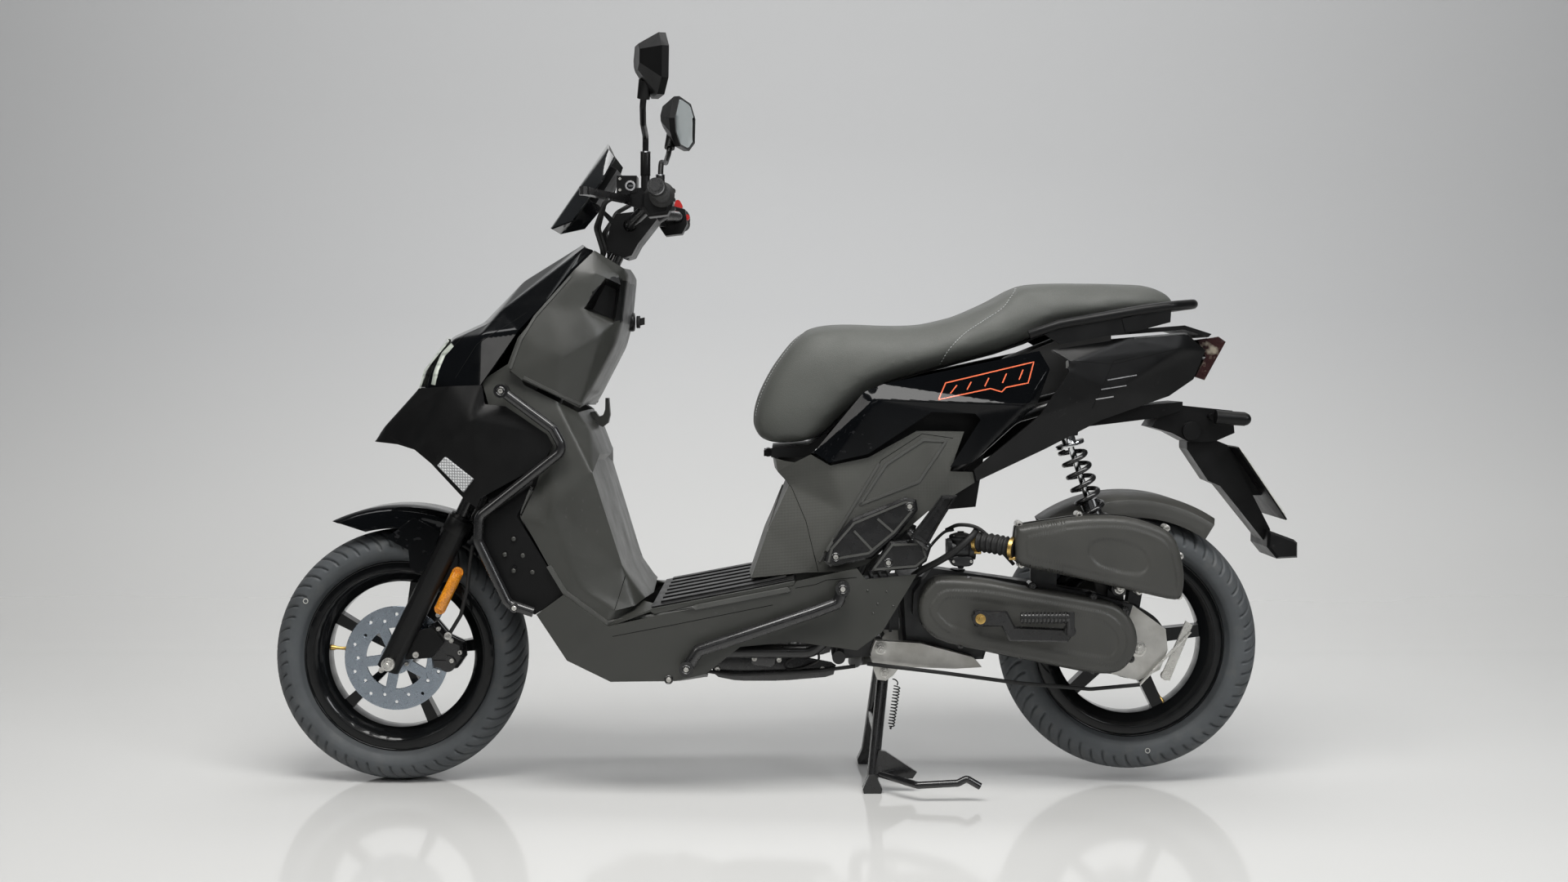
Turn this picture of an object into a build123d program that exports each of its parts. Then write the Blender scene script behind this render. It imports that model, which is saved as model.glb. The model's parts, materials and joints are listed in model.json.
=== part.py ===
"""Moped scooter with a 50 cc class engine-and-swingarm unit, standing on its centre stand.

Frame: origin on the ground under the middle of the scooter, +Z up, -X forward, -Y the rider's left.
All sizes are in millimetres.
"""

import os
from math import cos, hypot, pi, radians, sin

from build123d import *

os.makedirs("parts", exist_ok=True)

# ---------------------------------------------------------------- driving dimensions
HALF_LENGTH = 961.0
FRONT_AXLE = (-724.0, 237.0)
REAR_AXLE = (650.0, 264.0)
FRONT_TYRE_R = 237.0
REAR_TYRE_R = 243.0
RIM_R = 178.0
RAKE = 26.0
FORK_Y = 95.0
FORK_OFFSET = 35.0
FORK_TRAVEL = 60.0
SLIDER_R = 21.0
TUBE_R = 15.0
RUNNING = 0.05
SWING_PIVOT = (178.0, 262.0)
STAND_PIVOT = (186.0, 218.0)
KICK_PIVOT = (350.0, 332.0)
SHOCK_TOP = (516.0, 668.0)
SHOCK_FOOT = (613.0, 375.0)
SHOCK_Y = -105.0
PANEL = 3.5
GRIP_X, GRIP_Z = -215.0, 1084.0

STEM_TOP = 905.0
PEG_HINGE = (240.0, 473.0)
PEG_Y = -192.0
PLATE_HOLE = 42.0
SEAT_HINGE = (-30.0, 619.0)
BAR_CENTRE = (-292.0, 1046.0)
BAR_PATH = [
    (-292, -30, 1046), (-286, -62, 1048), (-238, -130, 1083), (-215, -172, 1084), (-215, -346, 1084),
]
BAR_BEND = 18.0
UP_FORK = (sin(radians(RAKE)), cos(radians(RAKE)))
NODES = {}


# ---------------------------------------------------------------- helpers
def keep(name, *shapes):
    """Collects the solids of one node and writes its STEP file."""
    solids = []
    for shape in shapes:
        for item in shape if isinstance(shape, (list, tuple)) else [shape]:
            solids.extend(item.solids())
    NODES[name] = solids
    export_step(Compound(children=solids), f"parts/{name}.step")


def pair(*shapes):
    """The given left-hand shapes and their right-hand mirror images."""
    return [*shapes, *[shape.mirror(Plane.XZ) for shape in shapes]]


def polygon(points, y):
    return Wire.make_polygon([(x, y, z) for x, z in points], close=True)


def plate(points, y0, y1):
    """A flat plate whose side-view outline is points, from y0 to y1."""
    return Solid.extrude(Face(polygon(points, y0)), Vector(0, y1 - y0, 0))


def inset(points, distance):
    """The outline moved inwards by distance, with mitred corners."""
    area = sum(a[0] * b[1] - b[0] * a[1] for a, b in zip(points, points[1:] + points[:1]))
    side = distance if area > 0 else -distance
    moved = []
    for before, here, after in zip(points[-1:] + points[:-1], points, points[1:] + points[:1]):
        ux, uz = here[0] - before[0], here[1] - before[1]
        vx, vz = after[0] - here[0], after[1] - here[1]
        lu, lv = hypot(ux, uz), hypot(vx, vz)
        nx, nz = -uz / lu - vz / lv, ux / lu + vx / lv
        grow = 2 * side / max(nx * nx + nz * nz, 1.0)
        moved.append((here[0] + nx * grow, here[1] + nz * grow))
    return moved


def bevelled(points, y_in, y_edge, y_out, amount):
    """A plate with its outer edge bevelled: straight from y_in to y_edge, then narrowing to y_out."""
    small = Solid.make_loft([polygon(points, y_edge), polygon(inset(points, amount), y_out)], True)
    return plate(points, y_in, y_edge) + small


def rod(start, end, radius, bore=0.0):
    """A round bar, or a tube, from start to end."""
    a, b = Vector(*start), Vector(*end)
    plane = Plane(origin=a, z_dir=b - a)
    bar = Solid.make_cylinder(radius, (b - a).length, plane)
    return bar - Solid.make_cylinder(bore, (b - a).length, plane) if bore else bar


def cross_rod(x, z, radius, y0, y1, bore=0.0):
    """A round bar along Y."""
    return rod((x, y0, z), (x, y1, z), radius, bore)


def bent_tube(points, radius, bend, bore=0.0):
    """A tube along straight runs joined by arcs of radius bend."""
    path = FilletPolyline(*points, radius=bend)
    plane = Plane(origin=path @ 0, z_dir=path % 0)
    section = plane * Circle(radius)
    if bore:
        section -= plane * Circle(bore)
    return sweep(section, path=path)


def ring(profile, centre):
    """A body of revolution about a wheel's axle. profile holds (radius, y) points."""
    face = Face(Wire.make_polygon([(r, y, 0) for r, y in profile], close=True))
    return Pos(centre[0], 0, centre[1]) * revolve(face, axis=Axis.Y)


def arc_ring(profile, centre, start, sweep_angle):
    """Part of a body of revolution, from start degrees above +X, turning towards +Z."""
    face = Face(Wire.make_polygon([(r, y, 0) for r, y in profile], close=True))
    face = Rot(0, -start, 0) * face
    return Pos(centre[0], 0, centre[1]) * revolve(face, axis=-Axis.Y, revolution_arc=sweep_angle)


def polar(centre, radius, angle):
    """The side-view point at that radius and angle from a centre."""
    return (centre[0] + radius * cos(radians(angle)), centre[1] + radius * sin(radians(angle)))


def edges_of(triangle):
    a, b, c = triangle
    return [(a, b), (b, c), (c, a)]


def matched(facets):
    """The facets cut into triangles that all turn the same way round."""
    waiting = [(face[0], face[i], face[i + 1]) for face in facets for i in range(1, len(face) - 1)]
    done, used = [], set()
    while waiting:
        pick = turned = waiting[0]
        for triangle in waiting:
            edges = edges_of(triangle)
            if any((b, a) in used for a, b in edges):
                pick = turned = triangle
                break
            if any(edge in used for edge in edges):
                pick, turned = triangle, triangle[::-1]
                break
        waiting.remove(pick)
        done.append(turned)
        used.update(edges_of(turned))
    return done


def sheet(points, faces, inside, thickness=PANEL, joined=False):
    """A moulded panel: named outer points and facets, thickened towards inside.

    joined adds the mirror half, sharing the points that lie on the middle plane.
    """
    named = {name: Vector(*p) for name, p in points.items()}
    facets = [face.split() for face in faces]
    if joined:
        other = {name: name if abs(p.Y) < 1e-6 else name + "_r" for name, p in named.items()}
        facets += [[other[name] for name in reversed(face)] for face in facets]
        named.update({other[name]: Vector(p.X, -p.Y, p.Z) for name, p in list(named.items())})
    triangles = matched(facets)
    cross = {t: (named[t[1]] - named[t[0]]).cross(named[t[2]] - named[t[0]]) for t in triangles}
    outward = sum(cross[t].dot(named[t[0]] - Vector(*inside)) for t in triangles)
    sign = 1 if outward > 0 else -1
    normals = {name: Vector(0, 0, 0) for t in triangles for name in t}
    for t in triangles:
        for name in t:
            normals[name] += cross[t].normalized() * sign
    inner = {name: named[name] - normals[name].normalized() * thickness for name in normals}
    edges = [edge for t in triangles for edge in edges_of(t)]
    if len(set(edges)) < len(edges):
        raise ValueError("two facets use the same edge in the same direction")
    skin = [[named[n] for n in t] for t in triangles]
    skin += [[inner[n] for n in reversed(t)] for t in triangles]
    for a, b in edges:
        if (b, a) not in edges:
            skin.append([named[b], named[a], inner[a]])
            skin.append([named[b], inner[a], inner[b]])
    shell = Shell([Face(Wire.make_polygon(t, close=True)) for t in skin])
    return Solid(shell)


def on_facet(corners, outline, lift, thickness):
    """A thin left-hand piece with that side-view outline, on the flat facet through three corners."""
    a, b, c = [Vector(*p) for p in corners]
    normal = (b - a).cross(c - a).normalized()
    if normal.Y > 0:
        normal = normal * -1
    points = []
    for x, z in outline:
        y = a.Y - (normal.X * (x - a.X) + normal.Z * (z - a.Z)) / normal.Y
        points.append(Vector(x, y, z) + normal * lift)
    return Solid.extrude(Face(Wire.make_polygon(points, close=True)), normal * thickness)


def station_loft(stations):
    """A closed body through cross-sections along X: (x, half width, bottom z, top z, shoulder).

    shoulder is how far the top corners are cut in, as a share of the half width.
    """
    wires = []
    for x, half, low, high, shoulder in stations:
        rise = high - low
        right = [
            (half * 0.86, low),
            (half, low + rise * 0.28),
            (half * (1 - shoulder * 0.35), low + rise * 0.68),
            (half * (1 - shoulder), high - rise * 0.06),
            (half * (1 - shoulder) * 0.5, high),
        ]
        loop = right + [(-y, z) for y, z in reversed(right)]
        wires.append(Wire.make_polygon([(x, y, z) for y, z in loop], close=True))
    return Solid.make_loft(wires, True)


def on_fork(distance, offset=0.0):
    """Side-view point on the fork line, distance up from the axle and offset forwards of it."""
    return (
        FRONT_AXLE[0] + distance * UP_FORK[0] - offset * UP_FORK[1],
        FRONT_AXLE[1] + distance * UP_FORK[1] + offset * UP_FORK[0],
    )


def on_stem(distance):
    """Side-view point on the steering axis, level along the fork with that distance."""
    return on_fork(distance, -FORK_OFFSET)


# ---------------------------------------------------------------- wheels
def tyre(centre, outer, half_width):
    """A tubeless tyre: beads inside the rim flanges, bulging side walls, rounded crown, hollow."""
    outside = [
        (RIM_R - 12, 26),
        (RIM_R + 0.5, 30.5),
        (RIM_R + 5, half_width * 0.84),
        (RIM_R + 24, half_width),
        (outer - 22, half_width * 0.95),
        (outer - 9, half_width * 0.72),
        (outer - 2.5, half_width * 0.38),
        (outer, 0),
    ]
    inside = [
        (outer - 14, 0), (outer - 20, half_width * 0.6), (RIM_R + 22, half_width - 9), (RIM_R + 6, 25),
        (RIM_R - 12, 16),
    ]
    loop = outside + [(r, -y) for r, y in reversed(outside[:-1])]
    loop += [(r, -y) for r, y in reversed(inside)] + inside[1:]
    return ring(loop, centre)


def rim(centre, hub_r, hub_half, bore):
    """A cast five-spoke wheel with a drop-centre barrel."""
    barrel = [
        (RIM_R, 36), (RIM_R, 31), (RIM_R - 13, 27), (RIM_R - 26, 14), (RIM_R - 26, -14),
        (RIM_R - 13, -27), (RIM_R, -31), (RIM_R, -36), (RIM_R - 20, -37), (RIM_R - 40, -16),
        (RIM_R - 40, 16), (RIM_R - 20, 37),
    ]
    wheel = ring(barrel, centre)
    hub = cross_rod(*centre, hub_r, -hub_half, hub_half)
    for spoke in range(5):
        angle = 7 + 72 * spoke
        near, far = hub_r - 4, RIM_R - 36
        edge = [
            polar((0, 0), near, -12), polar((0, 0), far, -4.5), polar((0, 0), far, 4.5),
            polar((0, 0), near, 12),
        ]
        outline = [(p[0], p[1]) for p in edge]
        solid = Rot(0, -angle, 0) * plate(outline, -13, 13)
        hub = hub + Pos(centre[0], 0, centre[1]) * solid
    return wheel + hub - cross_rod(*centre, bore, -hub_half - 1, hub_half + 1)


def front_wheel():
    axle_r = 7.5
    keep("front_tyre", tyre(FRONT_AXLE, FRONT_TYRE_R, 58))
    keep("front_rim", rim(FRONT_AXLE, 30, 52, axle_r + RUNNING))
    disc = cross_rod(*FRONT_AXLE, 97, -58, -54.2)
    disc -= cross_rod(*FRONT_AXLE, 57, -59, -53)
    for arm in range(5):
        a = 43 + 72 * arm
        outline = [
            polar((0, 0), 26, a - 22), polar((0, 0), 60, a - 9), polar((0, 0), 60, a + 9),
            polar((0, 0), 26, a + 22),
        ]
        disc += Pos(FRONT_AXLE[0], 0, FRONT_AXLE[1]) * plate(outline, -58, -54.2)
    disc += cross_rod(*FRONT_AXLE, 30, -58, -52)
    for hole in range(20):
        x, z = polar(FRONT_AXLE, 82 if hole % 2 else 72, 18 * hole)
        disc -= cross_rod(x, z, 3, -59, -53)
    disc -= cross_rod(*FRONT_AXLE, 14, -59, -51)
    keep("brake_disc", disc)
    nut_in = FORK_Y + SLIDER_R + 1
    axle = cross_rod(*FRONT_AXLE, axle_r, -nut_in, nut_in)
    heads = [cross_rod(*FRONT_AXLE, 12, s * nut_in, s * (nut_in + 8)) for s in (-1, 1)]
    spacers = [cross_rod(*FRONT_AXLE, 12, s * (FORK_Y - SLIDER_R), s * 59) for s in (-1, 1)]
    keep("front_axle", axle + heads[0] + heads[1] + spacers[0] + spacers[1])


def rear_wheel():
    keep("rear_tyre", tyre(REAR_AXLE, REAR_TYRE_R, 65))
    drum_cut = cross_rod(*REAR_AXLE, 58, -70, -30)
    keep("rear_rim", rim(REAR_AXLE, 66, 52, 12 + RUNNING) - drum_cut)


# ---------------------------------------------------------------- front fork and steering
def slanted(distance_a, distance_b, y, radius, bore=0.0, offset=0.0):
    """A round bar along the fork direction at lateral position y."""
    a, b = on_fork(distance_a, offset), on_fork(distance_b, offset)
    return rod((a[0], y, a[1]), (b[0], y, b[1]), radius, bore)


def fork():
    """Sliders with their lugs, and the yoke with its two tubes and the stem up to the handlebar clamp."""
    slider_top = 300
    tube_low = 110
    inner_face = -66.05
    leg = slanted(-14, slider_top, -FORK_Y, SLIDER_R)
    leg += slanted(slider_top - 34, slider_top - 6, -FORK_Y, SLIDER_R + 3)
    for distance in (190, 235):
        leg += cross_rod(*on_fork(distance), 8, -FORK_Y + 8, inner_face)
    leg += plate(
        [(-652, 410), (-600, 410), (-592, 398), (-604, 384), (-664, 384)], -FORK_Y - 1, -FORK_Y + 3.5,
    )
    caliper_lug = plate([(-712, 240), (-694, 290), (-650, 300), (-628, 272), (-650, 244)], -FORK_Y, -86)
    leg += caliper_lug
    leg -= slanted(tube_low - FORK_TRAVEL - 20, slider_top + 1, -FORK_Y, TUBE_R + RUNNING + 0.03)
    leg -= cross_rod(*FRONT_AXLE, 7.5, -FORK_Y - 40, -FORK_Y + 40)
    right = slanted(-14, slider_top, FORK_Y, SLIDER_R) + slanted(
        slider_top - 34, slider_top - 6, FORK_Y, SLIDER_R + 3,
    )
    for distance in (190, 235):
        right += cross_rod(*on_fork(distance), 8, FORK_Y - 8, -inner_face)
    right += plate(
        [(-652, 410), (-600, 410), (-592, 398), (-604, 384), (-664, 384)], FORK_Y - 3.5, FORK_Y + 1,
    )
    right -= slanted(tube_low - FORK_TRAVEL - 20, slider_top + 1, FORK_Y, TUBE_R + RUNNING + 0.03)
    right -= cross_rod(*FRONT_AXLE, 7.5, FORK_Y - 40, FORK_Y + 40)
    keep("fork_sliders", leg, right)
    yoke = 410
    tubes = slanted(tube_low, yoke + 40, -FORK_Y, TUBE_R)
    clamp = slanted(yoke, yoke + 34, -FORK_Y, 23, TUBE_R) + slanted(yoke, yoke + 34, FORK_Y, 23, TUBE_R)
    low, high = on_fork(yoke + 3), on_fork(yoke + 31)
    middle = ((low[0] + high[0]) / 2 + 14, 0, (low[1] + high[1]) / 2 - 7)
    bridge = Plane(origin=middle, z_dir=(UP_FORK[0], 0, UP_FORK[1])) * Box(56, 2 * FORK_Y - 34, 28)
    a, b = on_stem(yoke + 4), on_stem(STEM_TOP)
    stem = rod((a[0], 0, a[1]), (b[0], 0, b[1]), 12.5)
    block = plate([(-310, 1020), (-280, 1020), (-274, 1061), (-311, 1061)], -22, 22)
    block -= rod((BAR_CENTRE[0], -30, BAR_CENTRE[1]), (BAR_CENTRE[0], 30, BAR_CENTRE[1]), 11)
    block -= bent_tube(BAR_PATH, 11.3, BAR_BEND) + bent_tube(BAR_PATH, 11.3, BAR_BEND).mirror(Plane.XZ)
    keep("steering_stem", clamp + bridge + stem + block, pair(tubes))


def front_fender_part():
    outer, skin = 283.0, 3.5
    top = [
        (outer, -46), (outer - 8, -60), (outer - 40, -66), (outer - 40, -66 + skin),
        (outer - 10, -60 + skin),
        (outer - skin, -46), (outer - skin, 46), (outer - 10, 60 - skin), (outer - 40, 66 - skin),
        (outer - 40, 66), (outer - 8, 60), (outer, 46),
    ]
    guard = arc_ring(top, FRONT_AXLE, 22, 95)
    tip_cut = plate([(-862, 400), (-862, 494), (-828, 488), (-742, 462), (-742, 400)], -80, 80)
    guard -= tip_cut
    stay = [
        (-742, 462), (-700, 440), (-697, 408), (-684, 396), (-668, 404), (-650, 448), (-640, 474),
        (-690, 500),
    ]
    keep("front_fender", guard + plate(stay, -66, -62.5) + plate(stay, 62.5, 66))


def brakes_and_reflectors():
    body = [
        (-661, 300), (-646, 308), (-622, 280), (-596, 268), (-594, 240), (-606, 222), (-632, 217),
        (-652, 222), (-656, 262),
    ]
    caliper = bevelled(body, -60, -78, -86, 5) + plate(body, -51, -44)
    caliper += plate([(-600, 262), (-594, 240), (-606, 222), (-622, 219), (-618, 262)], -60, -51)
    for x, z in ((-640, 250), (-622, 232)):
        caliper += cross_rod(x, z, 15, -84, -90)
    caliper -= plate([(-670, 238), (-625, 238), (-625, 310), (-670, 310)], -96, -86)
    caliper -= cross_rod(*FRONT_AXLE, 99, -59.5, -52.7)
    hose = bent_tube(
        [(-622, -82, 283), (-598, -86, 322), (-584, -98, 372), (-578, -100, 420), (-574, -96, 452)], 3.6,
        15,
    )
    keep("brake_caliper", caliper, hose - caliper)
    lens = rod((-601, -97, 402), (-633, -97, 336), 10.5) + cross_rod(-601, 402, 10.5, -98, -92)
    lens += cross_rod(-633, 336, 10.5, -98, -92)
    lens -= plate([(-660, 430), (-560, 430), (-560, 310), (-660, 310)], -92, -80)
    lens = Pos(0, -4.05, 0) * lens
    keep("fork_reflectors", pair(lens))


def handlebar_group():
    half = bent_tube(BAR_PATH, 11, BAR_BEND)
    middle = rod((BAR_CENTRE[0], -32, BAR_CENTRE[1]), (BAR_CENTRE[0], 32, BAR_CENTRE[1]), 11)
    weight = cross_rod(GRIP_X, GRIP_Z, 14, -346, -366) + cross_rod(GRIP_X, GRIP_Z, 9, -366, -369)
    keep("handlebar", middle + half + half.mirror(Plane.XZ), pair(weight))
    grip_low = 226
    grip = cross_rod(GRIP_X, GRIP_Z, 16, -342, -grip_low) + cross_rod(
        GRIP_X, GRIP_Z, 23, -grip_low - 6, -grip_low,
    )
    keep("left_grip", grip - cross_rod(GRIP_X, GRIP_Z, 11, -350, -200))
    keep("throttle_grip", (grip - cross_rod(GRIP_X, GRIP_Z, 11 + RUNNING, -350, -200)).mirror(Plane.XZ))
    bar = bent_tube(BAR_PATH, 11.02, BAR_BEND)
    box = [
        (-240, 1098), (-222, 1106), (-200, 1100), (-196, 1070), (-206, 1050), (-240, 1046), (-252, 1064),
        (-250, 1088),
    ]
    pod = bevelled(box, -182, -216, -222, 5) - bar
    perch = plate(
        [(-262, 1102), (-238, 1104), (-236, 1062), (-262, 1066), (-300, 1080), (-300, 1094)], -176, -158,
    ) - bar
    perch += plate([(-300, 1124), (-264, 1124), (-264, 1094), (-300, 1090)], -178, -140)
    perch += rod((-249, -170, 1098), (-249, -170, 1124), 8)
    perch += rod((-282, -187, 1088.2), (-282, -187, 1096), 9)
    perch += plate([(-289, 1089), (-275, 1089), (-275, 1096), (-289, 1096)], -187, -172)
    perch += rod((-282, -187, 1072), (-282, -187, 1090), 3)
    keep("bar_controls", pair(pod), pair(perch))
    blade = [
        (-290, -182), (-274, -194), (-300, -250), (-322, -300), (-330, -326), (-346, -332), (-346, -312),
        (-330, -280),
    ]
    lever = Solid.extrude(
        Face(Wire.make_polygon([(x, y, 1074) for x, y in blade], close=True)), Vector(0, 0, 12),
    )
    lever += rod((-282, -187, 1074), (-282, -187, 1086), 8) + rod((-339, -325, 1073), (-339, -325, 1087), 9)
    lever -= rod((-282, -187, 1070), (-282, -187, 1090), 3 + RUNNING)
    keep("brake_lever_left", lever)
    keep("brake_lever_right", lever.mirror(Plane.XZ))
    cover = [
        (-334, 1012), (-326, 1044), (-316, 1068), (-252, 1076), (-238, 1058), (-274, 1012), (-286, 990),
        (-300, 986), (-340, 1002),
    ]
    shell = plate(cover, -46, 46) - plate(inset(cover, 4), -42.5, 42.5)
    opening = bent_tube(BAR_PATH, 12, BAR_BEND)
    shell -= opening + opening.mirror(Plane.XZ)
    a, b = on_stem(700), on_stem(880)
    shell -= rod((a[0], 0, a[1]), (b[0], 0, b[1]), 22)
    dash = plate([(-372, 1100), (-330, 1160), (-312, 1150), (-352, 1086)], -55, 55)
    stay = plate([(-364, 1096), (-352, 1088), (-316, 1056), (-324, 1048)], -44, -40)
    keep("handlebar_cover", shell + dash + stay + stay.mirror(Plane.XZ))


def flyscreen_part():
    screen = {
        "t": (-336, 0, 1206), "u": (-330, -52, 1190), "v": (-316, -74, 1172), "c1": (-392, 0, 1124),
        "k1": (-384, -70, 1112), "e1": (-336, -104, 1124), "c2": (-446, 0, 1046), "k2": (-436, -58, 1040),
        "e2": (-392, -86, 1052),
    }
    faces = ["t u k1 c1", "u v e1 k1", "c1 k1 k2 c2", "k1 e1 e2 k2"]
    keep("flyscreen", sheet(screen, faces, (-250, 0, 1060), 4, joined=True))


def mirror_part():
    """Left mirror: stem, pivot boot and faceted shell with its glass bed facing the rider."""
    stem = rod((-249, -170, 1124.4), (-249, -170, 1166), 9) + bent_tube(
        [
            (-249, -170, 1160), (-248, -178, 1194), (-245, -262, 1204), (-242, -302, 1228),
            (-236, -318, 1274),
        ], 5.5, 14
    )
    stem += rod((-240.5, -306, 1240), (-236.6, -316.5, 1270), 11)
    outline = [(-72, 6), (-40, -44), (38, -40), (70, -12), (66, 40), (26, 62), (-34, 60), (-66, 34)]
    plane = Plane(origin=(-208, -322, 1302), x_dir=(0.25, -0.968, 0), z_dir=(0.968, 0.25, 0))
    big = Wire.make_polygon([plane.from_local_coords((u, v, 0)) for u, v in outline], close=True)
    mid = Wire.make_polygon([plane.from_local_coords((u, v, -12)) for u, v in outline], close=True)
    back = Wire.make_polygon(
        [plane.from_local_coords((u * 0.45 - 8, v * 0.42 - 8, -42)) for u, v in outline], close=True,
    )
    shell = Solid.make_loft([big, mid], True) + Solid.make_loft([mid, back], True)
    bed = Wire.make_polygon(
        [plane.from_local_coords((u * 0.93, v * 0.92, 0)) for u, v in outline], close=True,
    )
    floor = Wire.make_polygon(
        [plane.from_local_coords((u * 0.93, v * 0.92, -3)) for u, v in outline], close=True,
    )
    shell -= Solid.make_loft([floor, bed], True)
    return shell + stem


def steering_head():
    keep("mirror_left", mirror_part())
    keep("mirror_right", mirror_part().mirror(Plane.XZ))
    cables = []
    for y, front in ((-52, -346), (-59, -352)):
        route = [
            (-302, y * 1.8, 1100), (-330, y * 1.8, 1084), (front, y * 1.1, 1040), (front + 12, y, 1000),
            (-340, y * 0.85, 986),
        ]
        cables.append(bent_tube(route, 3.5, 14))
    keep("control_cables", pair(*cables))


# ---------------------------------------------------------------- frame
def frame_parts():
    a, b = on_stem(462), on_stem(790)
    head = rod((a[0], 0, a[1]), (b[0], 0, b[1]), 27)
    down = rod((-428, 0, 690), (-352, 0, 330), 22) + rod((-352, 0, 334), (-300, 0, 262), 22)
    rail = bent_tube(
        [(-330, -60, 262), (-250, -125, 262), (60, -125, 262), (150, -125, 440), (210, -125, 500)], 13, 40,
    )
    loop = rail + rail.mirror(Plane.XZ) + cross_rod(-322, 262, 13, -64, 64)
    for x, z in ((-240, 262), (20, 262), (100, 250)):
        loop += cross_rod(x, z, 12, -125, 125)
    ear = plate([(92, 262), (178, 280), (196, 262), (186, 246), (104, 238)], -72, -64)
    loop += ear + ear.mirror(Plane.XZ) + cross_rod(*SWING_PIVOT, 8, -104, 104)
    keep("frame_front", head + down + loop - rod((a[0], 0, a[1]), (b[0], 0, b[1]), 12.5 + RUNNING))
    upper = bent_tube([(211, -125, 501), (420, -125, 690), (560, -106, 728), (722, -50, 758)], 12, 60)
    rails = upper + upper.mirror(Plane.XZ) + cross_rod(714, 757, 10, -54, 54) + cross_rod(
        424, 694, 10, -125, 125,
    )
    hanger = [(486, 706), (548, 722), (536, 656), (500, 652)]
    mount = plate(hanger, -92, -84) + plate(hanger, -126, -118)
    mount += plate([(489, 698), (546, 712), (548, 722), (486, 706)], -126, -84)
    keep("frame_rear", rails + mount + cross_rod(*SHOCK_TOP, 6, -128, -82))


# ---------------------------------------------------------------- bodywork
def nose():
    points = {
        "c0": (-384, 0, 1014), "c1": (-495, 0, 945), "c2": (-571, 0, 866), "c3": (-632, 0, 838),
        "c4": (-674, 0, 772),
        "c5": (-684, 0, 738), "k0": (-372, -66, 1004), "k1": (-524, -82, 886), "k2": (-550, -86, 860),
        "k3": (-612, -88, 832), "k4": (-657, -84, 772), "k5": (-667, -80, 736), "r0": (-352, -106, 996),
        "r1": (-388, -126, 960), "r2": (-432, -140, 901), "r3": (-481, -150, 847), "r4": (-508, -156, 806),
        "r5": (-552, -156, 744), "b": (-605, -132, 741), "m": (-556, -128, 838),
    }
    faces = [
        "c0 k0 k1 c1", "c1 k1 k2 c2", "c2 k2 k3 c3", "k0 r0 r1", "k0 r1 r2 k1", "k1 r2 r3 m", "k1 m k2",
        "k2 m k3",
        "r3 r4 m", "m r4 r5 b", "k3 m b k4", "k4 b k5", "c3 k3 k4 c4", "c4 k4 k5 c5",
    ]
    keep("nose_fairing", sheet(points, faces, (-460, 0, 780), joined=True))
    lens = {}
    for name in ("c3", "c4", "c5", "k3", "k4", "k5"):
        x, y, z = points[name]
        lens[name] = (x - 7, y * 0.95, 786 + (z - 786) * 0.93 + 2)
    keep("headlight_lens", sheet(lens, ["c3 k3 k4 c4", "c4 k4 k5 c5"], (-460, 0, 780), 3, joined=True))


def leg_shield_part():
    points = {
        "a": (-348, -108, 995), "b": (-296, -94, 963), "c": (-288, -90, 951), "d": (-297, -98, 866),
        "e": (-309, -106, 822), "f": (-357, -116, 731), "g": (-373, -126, 706), "h": (-412, -160, 729),
        "i": (-472, -168, 758), "j": (-499, -168, 780), "k": (-480, -162, 833), "l": (-430, -146, 898),
        "m": (-383, -130, 957), "n": (-346, -128, 953), "o": (-400, -167, 800), "p": (-304, -108, 951),
        "q": (-332, -140, 838), "b0": (-292, 0, 966), "c0": (-284, 0, 955), "d0": (-293, 0, 868),
        "e0": (-304, 0, 826), "f0": (-346, 0, 733), "g0": (-379, 0, 709), "s": (-364, -139, 887),
        "t": (-310, -118, 861), "u": (-300, -109, 932), "w": (-326, -122, 944),
    }
    faces = [
        "a n m", "a b p n", "b c p", "p c d u", "u d t", "d e q t", "e f q", "q f g h", "q h o", "o h i j",
        "o j k",
        "m n l", "l n s", "l s o k", "s t q o", "n w s", "n p u w",
        "b b0 c0 c", "c c0 d0 d", "d d0 e0 e", "e e0 f0 f", "f f0 g0 g",
    ]
    pocket = {
        "s2": (-352, -98, 887), "t2": (-317, -89, 869), "u2": (-310, -86, 924), "w2": (-330, -93, 933),
    }
    points.update(pocket)
    faces += ["s s2 t2 t", "t t2 u2 u", "u u2 w2 w", "w w2 s2 s", "s2 t2 u2 w2"]
    return points, faces


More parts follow.
